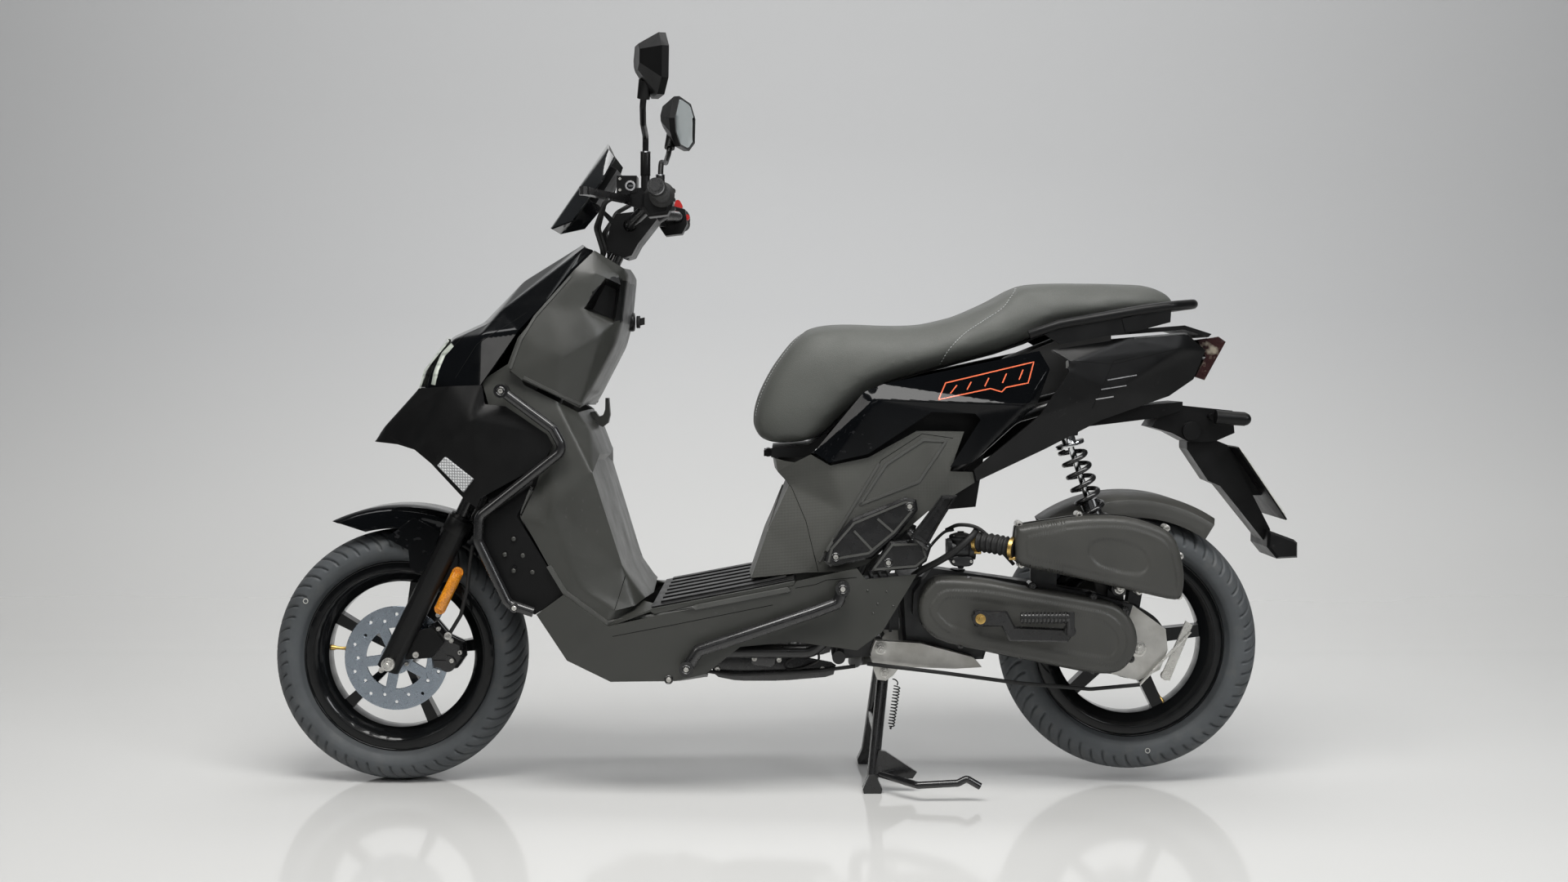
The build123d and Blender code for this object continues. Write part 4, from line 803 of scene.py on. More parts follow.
def hex_nut(build, x, z, y, radius, height=6.0, side=-1):
    """A flanged nut with a stud end, in mm."""
    for sides, profile in (
        (24, [(radius * 1.3, -1), (radius * 1.3, 1.4), (radius * 1.1, 1.8)]),
        (6, [(radius, 1), (radius, height * 0.85), (radius * 0.88, height)]),
        (16, [(radius * 0.5, 1), (radius * 0.5, height + 2.0), (radius * 0.4, height + 2.8)]),
    ):
        build.turned(x, y, z, side, profile, sides)


def upright_ring(centre, radius, across, count):
    """Points of a circle parallel to the wheels' plane."""
    return [centre + Vector((cos(t) * radius, across, sin(t) * radius)) for t in around(count)]


VALVE_AT = 0.137  # distance from the axle to the valve's foot, metres


def wheel_details():
    tyre("front_tyre_tread", "front_tyre", FRONT_AXLE, 237, 58, "front_wheel", 60)
    tyre("rear_tyre_tread", "rear_tyre", REAR_AXLE, 243, 65, "rear_wheel", 60)
    for axle, body, name in ((FRONT_AXLE, "front_wheel", "front"), (REAR_AXLE, "rear_wheel", "rear")):
        valve = Build()
        a = radians(176 if name == "front" else 300)
        out = Vector((cos(a), 0, sin(a)))
        valve.lathe(
            axle + out * VALVE_AT, -out,
            [
                (0.0055, -0.002), (0.0050, 0.004), (0.0032, 0.008), (0.0030, 0.024), (0.0042, 0.025),
                (0.0042, 0.033), (0.003, 0.035),
            ],
            14,
        )
        valve.put(f"{name}_valve", body, "brass")
        lip = Build()
        for side in (-1, 1):
            for radius, across in ((0.1772, 0.0352), (0.160, 0.0362)):
                lip.tube(upright_ring(axle, radius, side * across, 160), 0.0016, 8, closed=True)
        lip.put(f"{name}_rim_lips", body, "rim_black", 60)
    for axle, body, angle_at in ((FRONT_AXLE, "front_wheel", 148), (REAR_AXLE, "rear_wheel", 278)):
        a = radians(angle_at)
        build = Build()
        wall = -0.0573 if body == "front_wheel" else -0.0643
        centre = axle + Vector((cos(a) * 0.2005, wall, sin(a) * 0.2005))
        build.tube(upright_ring(centre, 0.0042, -0.0002, 24), 0.0008, 6, closed=True)
        build.put(f"{body}_balance_dot", body, "pale_plastic", 60)


# ---------------------------------------------------------------- seat
def evaluated(obj):
    """A new mesh with the object's modifiers applied."""
    return bpy.data.meshes.new_from_object(obj.evaluated_get(bpy.context.evaluated_depsgraph_get()))


PUFF_LIMIT = 0.006   # how far the cloth may move from the remeshed cushion, metres
SEAM_DEPTH, SEAM_WIDTH, STITCH_PITCH = 1.3, 2.6, 5.2  # mm


def seat_cover():
    """The padded cover: the CAD cushion's space, remeshed, blown up as cloth, then seamed."""
    mesh = cad_mesh("seat_cushion")
    obj = bpy.data.objects.new("seat_cover", mesh)
    bpy.context.scene.collection.objects.link(obj)
    bpy.context.view_layer.objects.active = obj
    remesh = obj.modifiers.new("remesh", "REMESH")
    remesh.mode = "VOXEL"
    remesh.voxel_size = 0.006
    baked = evaluated(obj)
    obj.modifiers.clear()
    obj.data = baked
    bm = bmesh.new()
    bm.from_mesh(baked)
    start, pairs, degree = edge_pairs(bm)
    soft = relaxed(start, pairs, degree, 26)
    normals = np.array([v.normal for v in bm.verts])
    soft = soft - normals * 0.0015
    for vert, p in zip(bm.verts, soft):
        vert.co = p
    bm.to_mesh(baked)
    cloth = obj.modifiers.new("cloth", "CLOTH")
    cloth.settings.quality = 5
    cloth.settings.mass = 0.3
    cloth.settings.use_pressure = True
    cloth.settings.uniform_pressure_force = 4.0
    cloth.settings.tension_stiffness = 40
    cloth.settings.compression_stiffness = 40
    cloth.settings.effector_weights.gravity = 0
    for frame_number in range(1, 21):
        bpy.context.scene.frame_set(frame_number)
    blown = np.array([v.co for v in evaluated(obj).vertices])
    obj.modifiers.clear()
    bpy.context.scene.frame_set(1)
    move = blown - soft
    length = np.linalg.norm(move, axis=1)[:, None]
    soft = soft + move * np.minimum(1, PUFF_LIMIT / np.maximum(length, 1e-9))
    soft = relaxed(soft, pairs, degree, 3)
    low, high = CAD_LOW_HIGH["seat_cushion"]
    soft = np.clip(soft, np.array(low) + 0.0003, np.array(high) + 0.004)
    side_view = soft[:, [0, 2]] * 1000
    dent = np.zeros(len(soft))
    for line in SEAT_SEAMS:
        gap = distance_to(side_view, line, closed=False)
        dent += SEAM_DEPTH * np.exp(-(gap / SEAM_WIDTH) ** 2)
    for vert, p, d, n in zip(bm.verts, soft, dent, normals):
        vert.co = p - n * d * MM
    bm.to_mesh(baked)
    bm.free()
    shaded(baked, 180)
    fine = obj.modifiers.new("fine", "SUBSURF")
    fine.levels = fine.render_levels = 1
    done = evaluated(obj)
    obj.modifiers.clear()
    obj.data = done
    done.materials.clear()
    done.materials.append(MAT["seat_vinyl"].material)
    for polygon in done.polygons:
        polygon.use_smooth = True
    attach(obj, "seat")
    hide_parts("seat_cushion")
    points = [v.co.copy() for v in done.vertices]
    tree = BVHTree.FromPolygons(points, [list(p.vertices) for p in done.polygons])
    stitches = Build()
    for side in (-1, 1):
        for line in SEAT_SEAMS:
            path = curve([(x, z, 0) for x, z in line], 24)
            travelled, last = 0.0, path[0]
            for here, ahead in zip(path, path[1:]):
                travelled += (here - last).length
                last = here
                if travelled < STITCH_PITCH:
                    continue
                travelled = 0.0
                eye = Vector((here.x * MM, side * 0.4, here.y * MM))
                hit, normal, _, _ = tree.ray_cast(eye, Vector((0, -side, 0)))
                if hit is None or normal.y * side < 0.12:
                    continue
                along = Vector((ahead.x - here.x, 0, ahead.y - here.y)).normalized()
                along = (along - normal * along.dot(normal)).normalized()
                middle = hit + normal * 0.0002
                up = normal * 0.0004
                stitches.tube([
                    middle - along * 0.0016, middle - along * 0.0008 + up,
                    middle + along * 0.0008 + up, middle + along * 0.0016,
                ], 0.00055, 6)
    stitches.put("seat_stitching", "seat", "thread", 60)
    return obj


SEAT_SEAMS = [
    [(36, 846), (14, 822), (-6, 796), (-24, 768), (-38, 740), (-48, 712), (-53, 690)],
    [(284, 782), (300, 812), (330, 842), (366, 866), (400, 888), (420, 912), (432, 927)],
]
CAD_LOW_HIGH = {node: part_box(node) for node in CAD}


# ---------------------------------------------------------------- dressing the CAD nodes
def dress(node, paint, width=0.001, segments=2, angle=30):
    """Gives a CAD node its finish and rounds its hard edges with modifiers."""
    obj = CAD[node]
    for holder in obj.material_slots:
        holder.material = MAT[paint].material
    soften_edges(obj, width, segments, angle)


# Outline of the leg shield's pocket: its sunk faces are painted matte black as painted shade in the recess.
POCKET_PAINTED_SHADE = [(-366, 886), (-344, 924), (-313, 948), (-283, 936), (-284, 858)]


def dress_all():
    """Gives every CAD node its finish, and splits or softens those that need it."""
    plain = {
        "frame_metal": ["frame_front", "frame_rear"],
        "matte_black": [
            "storage_box", "seat_base", "plate_hanger", "handlebar_cover", "fork_sliders", "grab_rail",
            "floor_deck",
        ],
        "black_metal": ["footpeg_brackets", "shock_body", "footpeg_left", "footpeg_right"],
        "tank": ["fuel_tank"], "chrome": ["shock_rod"], "steel": ["front_axle"],
        "rubber": ["control_cables", "ignition_key"], "tail_lens": ["tail_light"],
        "amber": ["fork_reflectors"], "disc_steel": ["brake_disc"],
        "rim_black": ["front_rim", "rear_rim"], "gloss_black": ["front_fender"],
        "case_grey": ["exhaust", "rear_hugger"],
    }
    for paint, nodes in plain.items():
        for node in nodes:
            dress(node, paint)
    two_tone("engine_case", "dark_alloy", "alloy",
             lambda c: c.x > 0.628 or (c.z < 0.279 and abs(c.y) > 0.0745 and c.x < 0.37))
    # The pocket's sunk faces get matte black: painted shade inside the recess.
    moulded("leg_shield", "satin_grey", 0.009, 5, inner=("matte_black", POCKET_PAINTED_SHADE, 134))
    for node, paint, width, steps in (
        ("nose_fairing", "gloss_black", 0.008, 3), ("wing_panels", "matte_black", 0.009, 4),
        ("footwell", "satin_grey", 0.009, 4), ("floor_skirts", "satin_grey", 0.009, 4),
        ("under_seat_panel", "weave_grey", 0.009, 3), ("side_panels", "gloss_black", 0.008, 3),
        ("tail_panels", "matte_black", 0.008, 4), ("lower_apron", "matte_black", 0.009, 4),
        ("flyscreen", "smoke", 0.008, 4),
    ):
        moulded(node, paint, width, steps)
    moulded("headlight_lens", "head_lens", 0.006, 1, 40, (-0.0035, 0, 0))
    split_node("turn_indicators", lambda low, high: "clear_lens" if high[0] < 0 else "matte_black")
    split_node("brake_caliper", lambda low, high: "rubber" if high[2] > 400 else "black_metal")
    for node in (
        "guard_bars", "steering_stem", "handlebar", "kick_lever", "brake_lever_left", "brake_lever_right",
    ):
        split_node(node, lambda low, high: "black_metal", 0.0008, 48)
    split_node("centre_stand", lambda low, high: None if high[0] - low[0] < 45 else "black_metal", 0.001, 48)
    split_node("rear_brake", lambda low, high: "rubber" if low[0] < 400 else "steel")
    split_node("bar_controls", lambda low, high: "matte_black")


def two_tone(node, paint, other, is_other, width=0.001):
    """Replaces a CAD node by a copy whose chosen faces have a second finish."""
    mesh = cad_mesh(node)
    obj = place(f"{node}_cast", shaded(mesh, 35), BODY_OF[node], paint, (node,), SLOT_OF[node])
    mesh.materials.append(MAT[other].material)
    for polygon in mesh.polygons:
        polygon.material_index = int(bool(is_other(polygon.center)))
    soften_edges(obj, width)
    return obj


# ---------------------------------------------------------------- engine covers and small parts
def helix(start, end, radius, turns, wire, per_turn=22):
    """Centre line of a coil from start to end, with flat closing turns."""
    start, end = Vector(start), Vector(end)
    axis = (end - start).normalized()
    side = axis.orthogonal().normalized()
    other = axis.cross(side)
    length = (end - start).length
    count = int(turns * per_turn)
    path = []
    for i in range(count + 1):
        t = i / count
        eased = t * 0.9 + 0.1 * smooth_step(np.array([t]), 0.0, 1.0)[0]
        a = 2 * pi * turns * t
        rise = axis * (wire + (length - 2 * wire) * eased)
        path.append(start + rise + side * cos(a) * radius + other * sin(a) * radius)
    return path


def rounded_loop(points, steps=3):
    """A smooth closed side-view outline through (x, z) points."""
    return [(p[0], p[1]) for p in curve([(x, z, 0) for x, z in points], steps, closed=True)]


def covers():
    """Faces of the belt cover and air box with their screws, intake bellows and clamps."""
    cover = [
        (246, 330), (246, 360), (262, 388), (284, 400), (360, 396), (437, 382), (563, 361), (603, 349),
        (628, 325),
        (639, 292), (633, 260), (615, 236), (592, 227), (551, 229), (422, 255), (296, 282), (258, 304),
    ]
    ridge = [
        (262, 336), (270, 362), (292, 380), (360, 378), (437, 366), (552, 346), (590, 334), (612, 312),
        (620, 288),
        (614, 264), (598, 246), (566, 244), (424, 270), (304, 296),
    ]
    inner = [
        (275, 338), (282, 356), (298, 367), (360, 364), (436, 352), (548, 333), (580, 323), (598, 306),
        (605, 287),
        (600, 270), (588, 258), (566, 257), (428, 282), (312, 307),
    ]
    cover, ridge, inner = rounded_loop(cover), rounded_loop(ridge), rounded_loop(inner)
    relief("belt_cover_face", cover, -112, -150, -162, 13, "swing_unit", "case_grey", 4.5,
           [(ridge, 2.6, 4.0), (inner, -2.2, 4.0)], ("cvt_cover",), "black_metal")
    box = [
        (415, 450), (416, 486), (424, 496), (470, 504), (538, 513), (613, 512), (672, 495), (698, 476),
        (710, 446),
        (716, 410), (713, 374), (700, 364), (650, 374), (607, 384), (510, 406), (426, 425),
    ]
    oval = [
        (540, 452), (548, 470), (576, 477), (610, 472), (638, 460), (654, 438), (646, 414), (624, 408),
        (590, 414),
        (556, 428),
    ]
    face = [
        (432, 452), (434, 478), (470, 488), (538, 498), (612, 497), (664, 481), (686, 465), (697, 436),
        (702, 404),
        (698, 382), (652, 390), (608, 399), (512, 421), (440, 438),
    ]
    box, oval, face = rounded_loop(box), rounded_loop(oval, 4), rounded_loop(face)
    relief("air_box_lid", box, -139, -178, -190, 14, "swing_unit", "case_grey", 4.5,
           [(face, 2.0, 5.0), (oval, -3.0, 6.0)], ("air_box",), "matte_black", 1.0)
    rim_line = Build()
    ring = [Vector((x * MM, -0.1605, z * MM)) for x, z in shrunk(box, -0.3)]
    rim_line.tube(ring, 0.0013, 8, closed=True)
    rim_line.put("air_box_joint", "swing_unit", "seam_dark", 60)
    boxes = Build()
    screw = [(0.0065, -0.012), (0.0065, 0.012), (0.005, 0.014), (0.0028, 0.0145), (0.0028, 0.011), (0, 0.011)]
    for x, z in (
        (424, 497), (532, 514), (690, 490), (714, 440), (712, 368), (606, 382), (428, 424), (640, 376),
    ):
        boxes.lathe((x * MM, -0.150, z * MM), (0, -1, 0), screw, 16)
    boxes.put("air_box_screws", "swing_unit", "steel")
    bellows = Build()
    path = curve(
        [(0.348, -0.124, 0.462), (0.372, -0.140, 0.461), (0.396, -0.156, 0.458), (0.416, -0.166, 0.455)], 16,
    )
    radii = [0.0165 + 0.0022 * cos(2 * pi * 8 * i / (len(path) - 1)) for i in range(len(path))]
    bellows.tube(path, radii, 28)
    bellows.put("intake_bellows", "swing_unit", "rubber", 70, ("intake",), "rubber")
    clamp = Build()
    for at, r in ((0.93, 0.0192), (0.07, 0.0186)):
        i = int(at * (len(path) - 1))
        along = (path[min(i + 1, len(path) - 1)] - path[i - 1]).normalized()
        clamp.lathe(
            path[i] - along * 0.004, along, [(r - 0.001, 0), (r, 0.0006), (r, 0.0074), (r - 0.001, 0.008)],
            28,
        )
        clamp.lathe(
            path[i] + Vector((0, -0.003, -r)), (1, 0, 0),
            [(0.0035, -0.006), (0.0035, 0.006), (0.0028, 0.0068)], 12,
        )
    clamp.put("duct_clamps", "swing_unit", "brass")


def springs():
    """The shock's coil, riding on the shock's lower part, and the stand's small return spring."""
    foot, top = Vector((0.613, -0.105, 0.375)), Vector((0.516, -0.105, 0.668))
    along = (top - foot).normalized()
    length = (top - foot).length
    low, high = foot + along * 0.0605, foot + along * (length - 0.0345)
    coil = Build()
    coil.tube(helix(low, high, 0.0225, 8.5, 0.0045), 0.0044, 10)
    spring = coil.put("shock_coil", "shock_lower", "black_metal", 80, ("shock_spring",), "black_metal")
    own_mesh(spring)
    small = Build()
    a, b = Vector((0.2082, -0.107, 0.196)), Vector((0.1968, -0.107, 0.120))
    small.tube(helix(a, b, 0.0056, 13, 0.0012, 12), 0.0012, 6)
    for end, steps in (
        (a, [(0.0004, 0, 0.006), (-0.004, 0.003, 0.010), (-0.008, 0.007, 0.010)]),
        (b, [(-0.0004, 0, -0.004), (-0.002, 0.004, -0.003)]),
    ):
        small.tube(curve([end] + [end + Vector(step) for step in steps], 6), 0.0012, 6)
    small.put("stand_spring", "centre_stand", "rim_black", 80, ("centre_stand",), "black_metal")


def grips():
    """Ribbed rubber grips with their outer caps."""
    for side, node, body in ((-1, "left_grip", "steering"), (1, "throttle_grip", "throttle_grip")):
        grip = Build()
        profile = [(0.0112, 0.226), (0.0225, 0.2262), (0.0228, 0.2290), (0.0205, 0.2318), (0.0172, 0.2335)]
        count = 17
        for i in range(count):
            d = 0.236 + i * 0.0058
            profile += [(0.0150, d), (0.0160, d + 0.0008), (0.0160, d + 0.0036), (0.0150, d + 0.0044)]
        profile += [(0.0158, 0.3375), (0.0160, 0.3405), (0.0150, 0.3418), (0.0112, 0.342)]
        grip.lathe((-0.215, 0, 1.084), (0, side, 0), profile, 40)
        grip.put(f"{node}_ribbed", body, "rubber", 40, (node,), "rubber")
    ends = Build()
    for side in (-1, 1):
        for k in range(10):
            a = 2 * pi * k / 10
            centre = Vector((-0.215 + 0.0098 * cos(a), side * 0.3658, 1.084 + 0.0098 * sin(a)))
            ends.lathe(centre, (0, side, 0), [(0.0024, -0.001), (0.0024, 0.0008), (0.0018, 0.0014)], 10)
        plug = [(0.0066, 0), (0.0066, 0.002), (0.0056, 0.0028), (0.0032, 0.0028), (0.003, 0.001), (0, 0.001)]
        ends.lathe((-0.215, side * 0.3664, 1.084), (0, side, 0), plug, 18)
    ends.put("bar_end_caps", "steering", "black_metal")


def mirror_glass():
    """The two panes, set into the shells and tilted a little towards the rider."""
    outline = [(-72, 6), (-40, -44), (38, -40), (70, -12), (66, 40), (26, 62), (-34, 60), (-66, 34)]
    for side, body in ((-1, "mirror_left"), (1, "mirror_right")):
        dress(body, "matte_black", 0.0025, 3, 20)
        right = Vector((0.25, -0.968, 0))
        out = Vector((0.968, 0.25, 0))
        up = out.cross(right)
        rim = rounded([(u * 0.925, v * 0.915) for u, v in outline], 2, 0.12)
        pane = Build()
        rings = []
        centre = Vector((-0.208, -0.322, 1.302))
        for scale, lift in ((1.0, -2.6), (1.0, -1.2), (0.985, -0.7), (0.6, -0.6)):
            ring = [centre + (right * u * scale + up * v * scale + out * lift) * MM for u, v in rim]
            rings.append([Vector((p.x, p.y * -side, p.z)) for p in ring])
        pane.rings(rings)
        pane.put(f"{body}_glass", body, "mirror_glass", 30)


# ---------------------------------------------------------------- bolts, seams, marks
def fasteners():
    """Bolts, nuts and screws of body, fork, disc, engine and pivots, and the kick pad's ribs."""
    skin = Skin(
        "guard_bars", "floor_skirts", "footpeg_brackets", "under_seat_panel", "leg_shield", "footwell",
        "lower_apron", "cvt_cover", "fork_sliders", "front_fender", "wing_panels", "side_panels",
        "tail_panels",
        "engine_case", "plate_hanger", "air_box",
    )

    def seated(build, cups, x, z, radius, height, side):
        hit, normal = skin.at(x, z, side)
        if hit is None:
            return
        cup = [(1.75, -0.003), (1.75, 0.0016), (1.5, 0.0024), (1.15, 0.0012), (1.1, 0.0)]
        cups.lathe(hit, normal, [(radius * share, along) for share, along in cup], 24)
        build.lathe(hit, normal, socket_head(radius, height, -0.002), 18)

    heads, cups = Build(), Build()
    for side in (-1, 1):
        for x, z in (
            (-504, 738), (-173, 246), (104, 388), (-480, 352), (93, 439), (226, 530), (187, 430), (-414, 218),
            (-206, 222), (-20, 276),
        ):
            seated(heads, cups, x, z, 0.0046, 0.003, side)
    heads.put("body_bolt_heads", "chassis", "steel")
    cups.put("body_bolt_cups", "chassis", "black_metal")
    fork = Build()
    for side in (-1, 1):
        hex_nut(fork, -724, 237, side * 124, 8.5, 7, side)
        bolt(fork, -652, 400, side * 99, 5.5, 4, side)
        bolt(fork, -612, 392, side * 99, 4.0, 3, side)
    for x, z, y, radius, height in (
        (-679, 250, -95.5, 6.0, 4.5), (-700, 256, -95.5, 6.0, 4.5), (-737, 226, -117, 5.0, 3.5),
        (-640, 296, -84, 4.2, 3.2), (-616, 274, -84, 4.2, 3.2), (-614, 238, -90, 4.2, 3.2),
        (-639, 323, -92, 4.2, 3.2), (-600, 252, -84, 4.2, 3.2),
    ):
        bolt(fork, x, z, y, radius, height)
    bleed_screw = [(0.007, -0.002), (0.007, 0.003), (0.0045, 0.0035), (0.0045, 0.008), (0.0035, 0.009)]
    fork.lathe((-0.622, -0.086, 0.283), (0.2, -1, 0.1), bleed_screw, 16)
    fork.put("fork_fasteners", "fork_lower", "steel")
    disc = Build()
    for k in range(5):
        a = radians(43 + 72 * k)
        bolt(disc, -724 + 22 * cos(a), 237 + 22 * sin(a), -58.3, 4.2, 3.2)
    disc.put("disc_bolts", "front_wheel", "steel")
    engine = Build()
    flanged = [
        (0.0075, -0.03), (0.0075, 0.0), (0.006, 0.002), (0.0048, 0.002), (0.0048, 0.0048), (0.004, 0.0055),
        (0.0025, 0.0055), (0.0022, 0.003), (0, 0.003),
    ]
    for x, z in (
        (262, 372), (336, 392), (450, 384), (560, 364), (618, 340), (628, 252), (560, 232), (430, 258),
        (320, 278), (256, 316),
    ):
        engine.lathe((x * MM, -0.1475, z * MM), (0, -1, 0), flanged, 18)
    engine.put("cover_bolts", "swing_unit", "black_metal")
    nut = Build()
    hex_nut(nut, 350, 332, -196, 7.0, 5.0)
    nut.put("kick_nut", "kick_lever", "brass")
    pad = Build()
    for i in range(12):
        x = 424 + i * 6.8
        path = [Vector((x * MM, (-206 + 9.6 * sin(t)) * MM, (336 + 9.6 * cos(t)) * MM)) for t in around(20)]
        pad.tube(path, 0.0017, 6, closed=True)
    pad.put("kick_pad_ribs", "kick_lever", "rubber", 60)
    for name, body, paint, nuts in (
        ("rear_axle_nuts", "swing_unit", "steel", [(650, 264, -112, 11, 8, -1), (650, 264, 64, 11, 8, 1)]),
        ("shock_top_nut", "chassis", "steel", [(516, 668, -128, 7, 5, -1)]),
        ("shock_foot_nut", "swing_unit", "steel", [(613, 375, -121, 7, 5, -1)]),
        ("pivot_nuts", "chassis", "steel", [(178, 262, -104, 8, 6, -1), (178, 262, 104, 8, 6, 1)]),
        ("stand_pivot_nuts", "swing_unit", "steel", [(186, 218, -98, 7, 5, -1), (186, 218, 98, 7, 5, 1)]),
    ):
        build = Build()
        for nut in nuts:
            hex_nut(build, *nut)
        build.put(name, body, paint)


def seams():
    """Joint lines, raised ribs painted a lighter grey as their highlight, painted highlight strips along
    edges, vents, marks and domes on the body panels.
    """
    front = Skin(
        "leg_shield", "nose_fairing", "wing_panels", "footwell", "floor_skirts", "lower_apron",
        "under_seat_panel", "side_panels", "tail_panels", "footpeg_brackets",
    )
    dark, line, orange, ribs, highlight_strips, domes = Build(), Build(), Build(), Build(), Build(), Build()
    for side in (-1, 1):
        for build, width, height, paths in (
            (dark, 0.0014, 0.0002, (
                [(-284, 410), (-303, 346)],
                [(122, 520), (176, 612), (250, 660), (306, 652)],
                [(-12, 586), (14, 560), (40, 500), (62, 410)],
                [(188, 722), (438, 714), (462, 716)],
                [(522, 792), (600, 786), (732, 816)],
                [(-646, 782), (-586, 842), (-520, 872)], [(-600, 760), (-560, 822), (-470, 880)],
                [(20, 386), (56, 392), (76, 400), (130, 404)], [(-306, 300), (-190, 322), (-20, 356)],
            )),
            # Raised ribs, coloured lighter than their panels as painted highlight.
            (ribs, 0.0100, 0.0030, (
                [(-452, 566), (-475, 514), (-392, 378), (-316, 322), (-230, 338), (10, 384), (16, 396)],
            )),
            (ribs, 0.0060, 0.0018, (
                [(137, 532), (185, 605), (252, 649), (293, 647), (244, 573), (137, 532)],
                [(64, 428), (120, 520), (172, 606)], [(-30, 480), (-2, 556)],
                [(-494, 772), (-474, 830), (-450, 872), (-388, 946)], [(-468, 762), (-412, 734), (-370, 712)],
            )),
            (ribs, 0.0046, 0.0020, (
                [(80, 430), (86, 454), (126, 500), (218, 538), (232, 536)],
                [(92, 436), (152, 446), (198, 484), (230, 522)], [(126, 486), (158, 452)],
                [(168, 508), (196, 484)],
                [(160, 418), (194, 462), (246, 464), (254, 440), (236, 424), (160, 418)],
            )),
            # Along the bevelled edge between side panel and tail: a painted highlight strip.
            (highlight_strips, 0.0060, 0.0014, ([(480, 808), (512, 792), (513, 772), (460, 694), (342, 597)],)),
            (
                line, 0.0022, 0.0006,
                ([(588, 757), (644, 766)], [(576, 740), (624, 747)], [(566, 722), (600, 727)]),
            ),
            (dark, 0.0014, 0.0002, ([(560, 706), (600, 792), (640, 800)],)),
            (orange, 0.0028, 0.0003, (
                [
                    (278, 722), (292, 752), (452, 790), (440, 752), (400, 744), (392, 736), (372, 742),
                    (278, 722),
                ],
                [(300, 733), (312, 748)], [(330, 740), (338, 754)], [(362, 746), (370, 761)],
                [(394, 752), (402, 769)], [(424, 758), (432, 776)],
            )),
        ):
            for path in paths:
                strip_on(build, front, path, width, height, side)
        for x, z in (
            (-484, 473), (-500, 445), (-468, 443), (-484, 416), (-451, 413), (150, 380), (168, 356),
            (184, 378), (160, 340), (196, 352),
        ):
            hit, normal = front.at(x, z, side)
            if hit is not None:
                size = 0.0042 if x < 0 else 0.0022
                domes.lathe(
                    hit, normal,
                    [(size, -0.001), (size, 0.0004), (size * 0.8, 0.0012), (size * 0.4, 0.0017), (0, 0.0018)],
                    16,
                )
    dark.put("panel_seams", "chassis", "seam_dark", 50)
    ribs.put("panel_ribs", "chassis", "rib_grey_painted_highlight", 50)
    highlight_strips.put("side_edge_highlight", "chassis", "highlight_grey", 50)
    domes.put("panel_domes", "chassis", "satin_grey", 60)
    line.put("tail_vents", "chassis", "silver_line", 50)
    orange.put("side_stripes", "chassis", "side_mark", 50)


SMALL_SCREW = [(0.0024, -0.001), (0.0024, 0.0014), (0.0018, 0.002), (0, 0.0020)]


def carburettor():
    """Carburettor body, cap and screws, and the hoses round the intake."""
    body = Build()
    throat = [
        (0.0205, 0), (0.0205, 0.004), (0.0165, 0.006), (0.0165, 0.036), (0.0190, 0.039), (0.0190, 0.050),
    ]
    body.lathe((0.300, -0.113, 0.447), (1, 0, 0), throat, 32)
    bowl = [(0.305, 0.4165), (0.345, 0.4165), (0.346, 0.436), (0.304, 0.436)]
    body.slab(rounded(bowl, 2, 0.2), -0.096, -0.130, 0.003)
    body.lathe(
        (0.324, -0.113, 0.455), (0, 0, 1),
        [(0.0175, -0.010), (0.0175, 0.009), (0.0215, 0.010), (0.0215, 0.0135)], 32,
    )
    body.lathe(
        (0.324, -0.131, 0.447), (0, -1, 0), [(0.006, -0.006), (0.006, 0.003), (0.0045, 0.004), (0, 0.004)],
        18,
    )
    body.lathe((0.324, -0.113, 0.4165), (0, 0, -1), [(0.006, -0.004), (0.006, 0.003), (0.004, 0.005)], 6)
    body.slab(mm([(298, 431), (306, 431), (306, 464), (298, 464)]), -0.091, -0.135, 0.002)
    body.put("carburettor_body", "swing_unit", "dark_alloy", 35, ("intake",), "alloy")
    cap = Build()
    dome = [(0.0215, 0), (0.0215, 0.0030), (0.019, 0.0055), (0.010, 0.0085), (0.006, 0.0095), (0.006, 0.0112)]
    cap.lathe((0.324, -0.113, 0.4685), (0, 0, 1), dome, 32)
    cap.put("carburettor_cap", "swing_unit", "matte_black")
    screws = Build()
    for k in range(4):
        a = radians(45 + 90 * k)
        screws.lathe((0.324 + 0.018 * cos(a), -0.113 + 0.018 * sin(a), 0.4715), (0, 0, 1), SMALL_SCREW, 12)
    for x in (0.309, 0.341):
        screws.lathe((x, -0.1305, 0.4265), (0, -1, 0), [(0.0024, -0.001), (0.0024, 0.0014), (0, 0.002)], 12)
    screws.put("carburettor_screws", "swing_unit", "steel")
    hose = Build()
    for radius, sides, path in (
        (0.0062, 14, [(0.238, -0.108, 0.398), (0.254, -0.128, 0.412), (0.284, -0.143, 0.430),
                      (0.316, -0.147, 0.452), (0.342, -0.140, 0.474), (0.352, -0.120, 0.482)]),
        (0.0034, 12, [(0.300, -0.090, 0.480), (0.322, -0.118, 0.492), (0.356, -0.136, 0.486),
                      (0.392, -0.134, 0.450), (0.420, -0.118, 0.420)]),
        (0.0028, 12, [(0.248, -0.096, 0.404), (0.262, -0.100, 0.440), (0.292, -0.098, 0.474),
                      (0.312, -0.104, 0.482)]),
    ):
        hose.tube(curve(path, 10), radius, sides)
    hose.put("intake_hoses", "swing_unit", "rubber", 60)


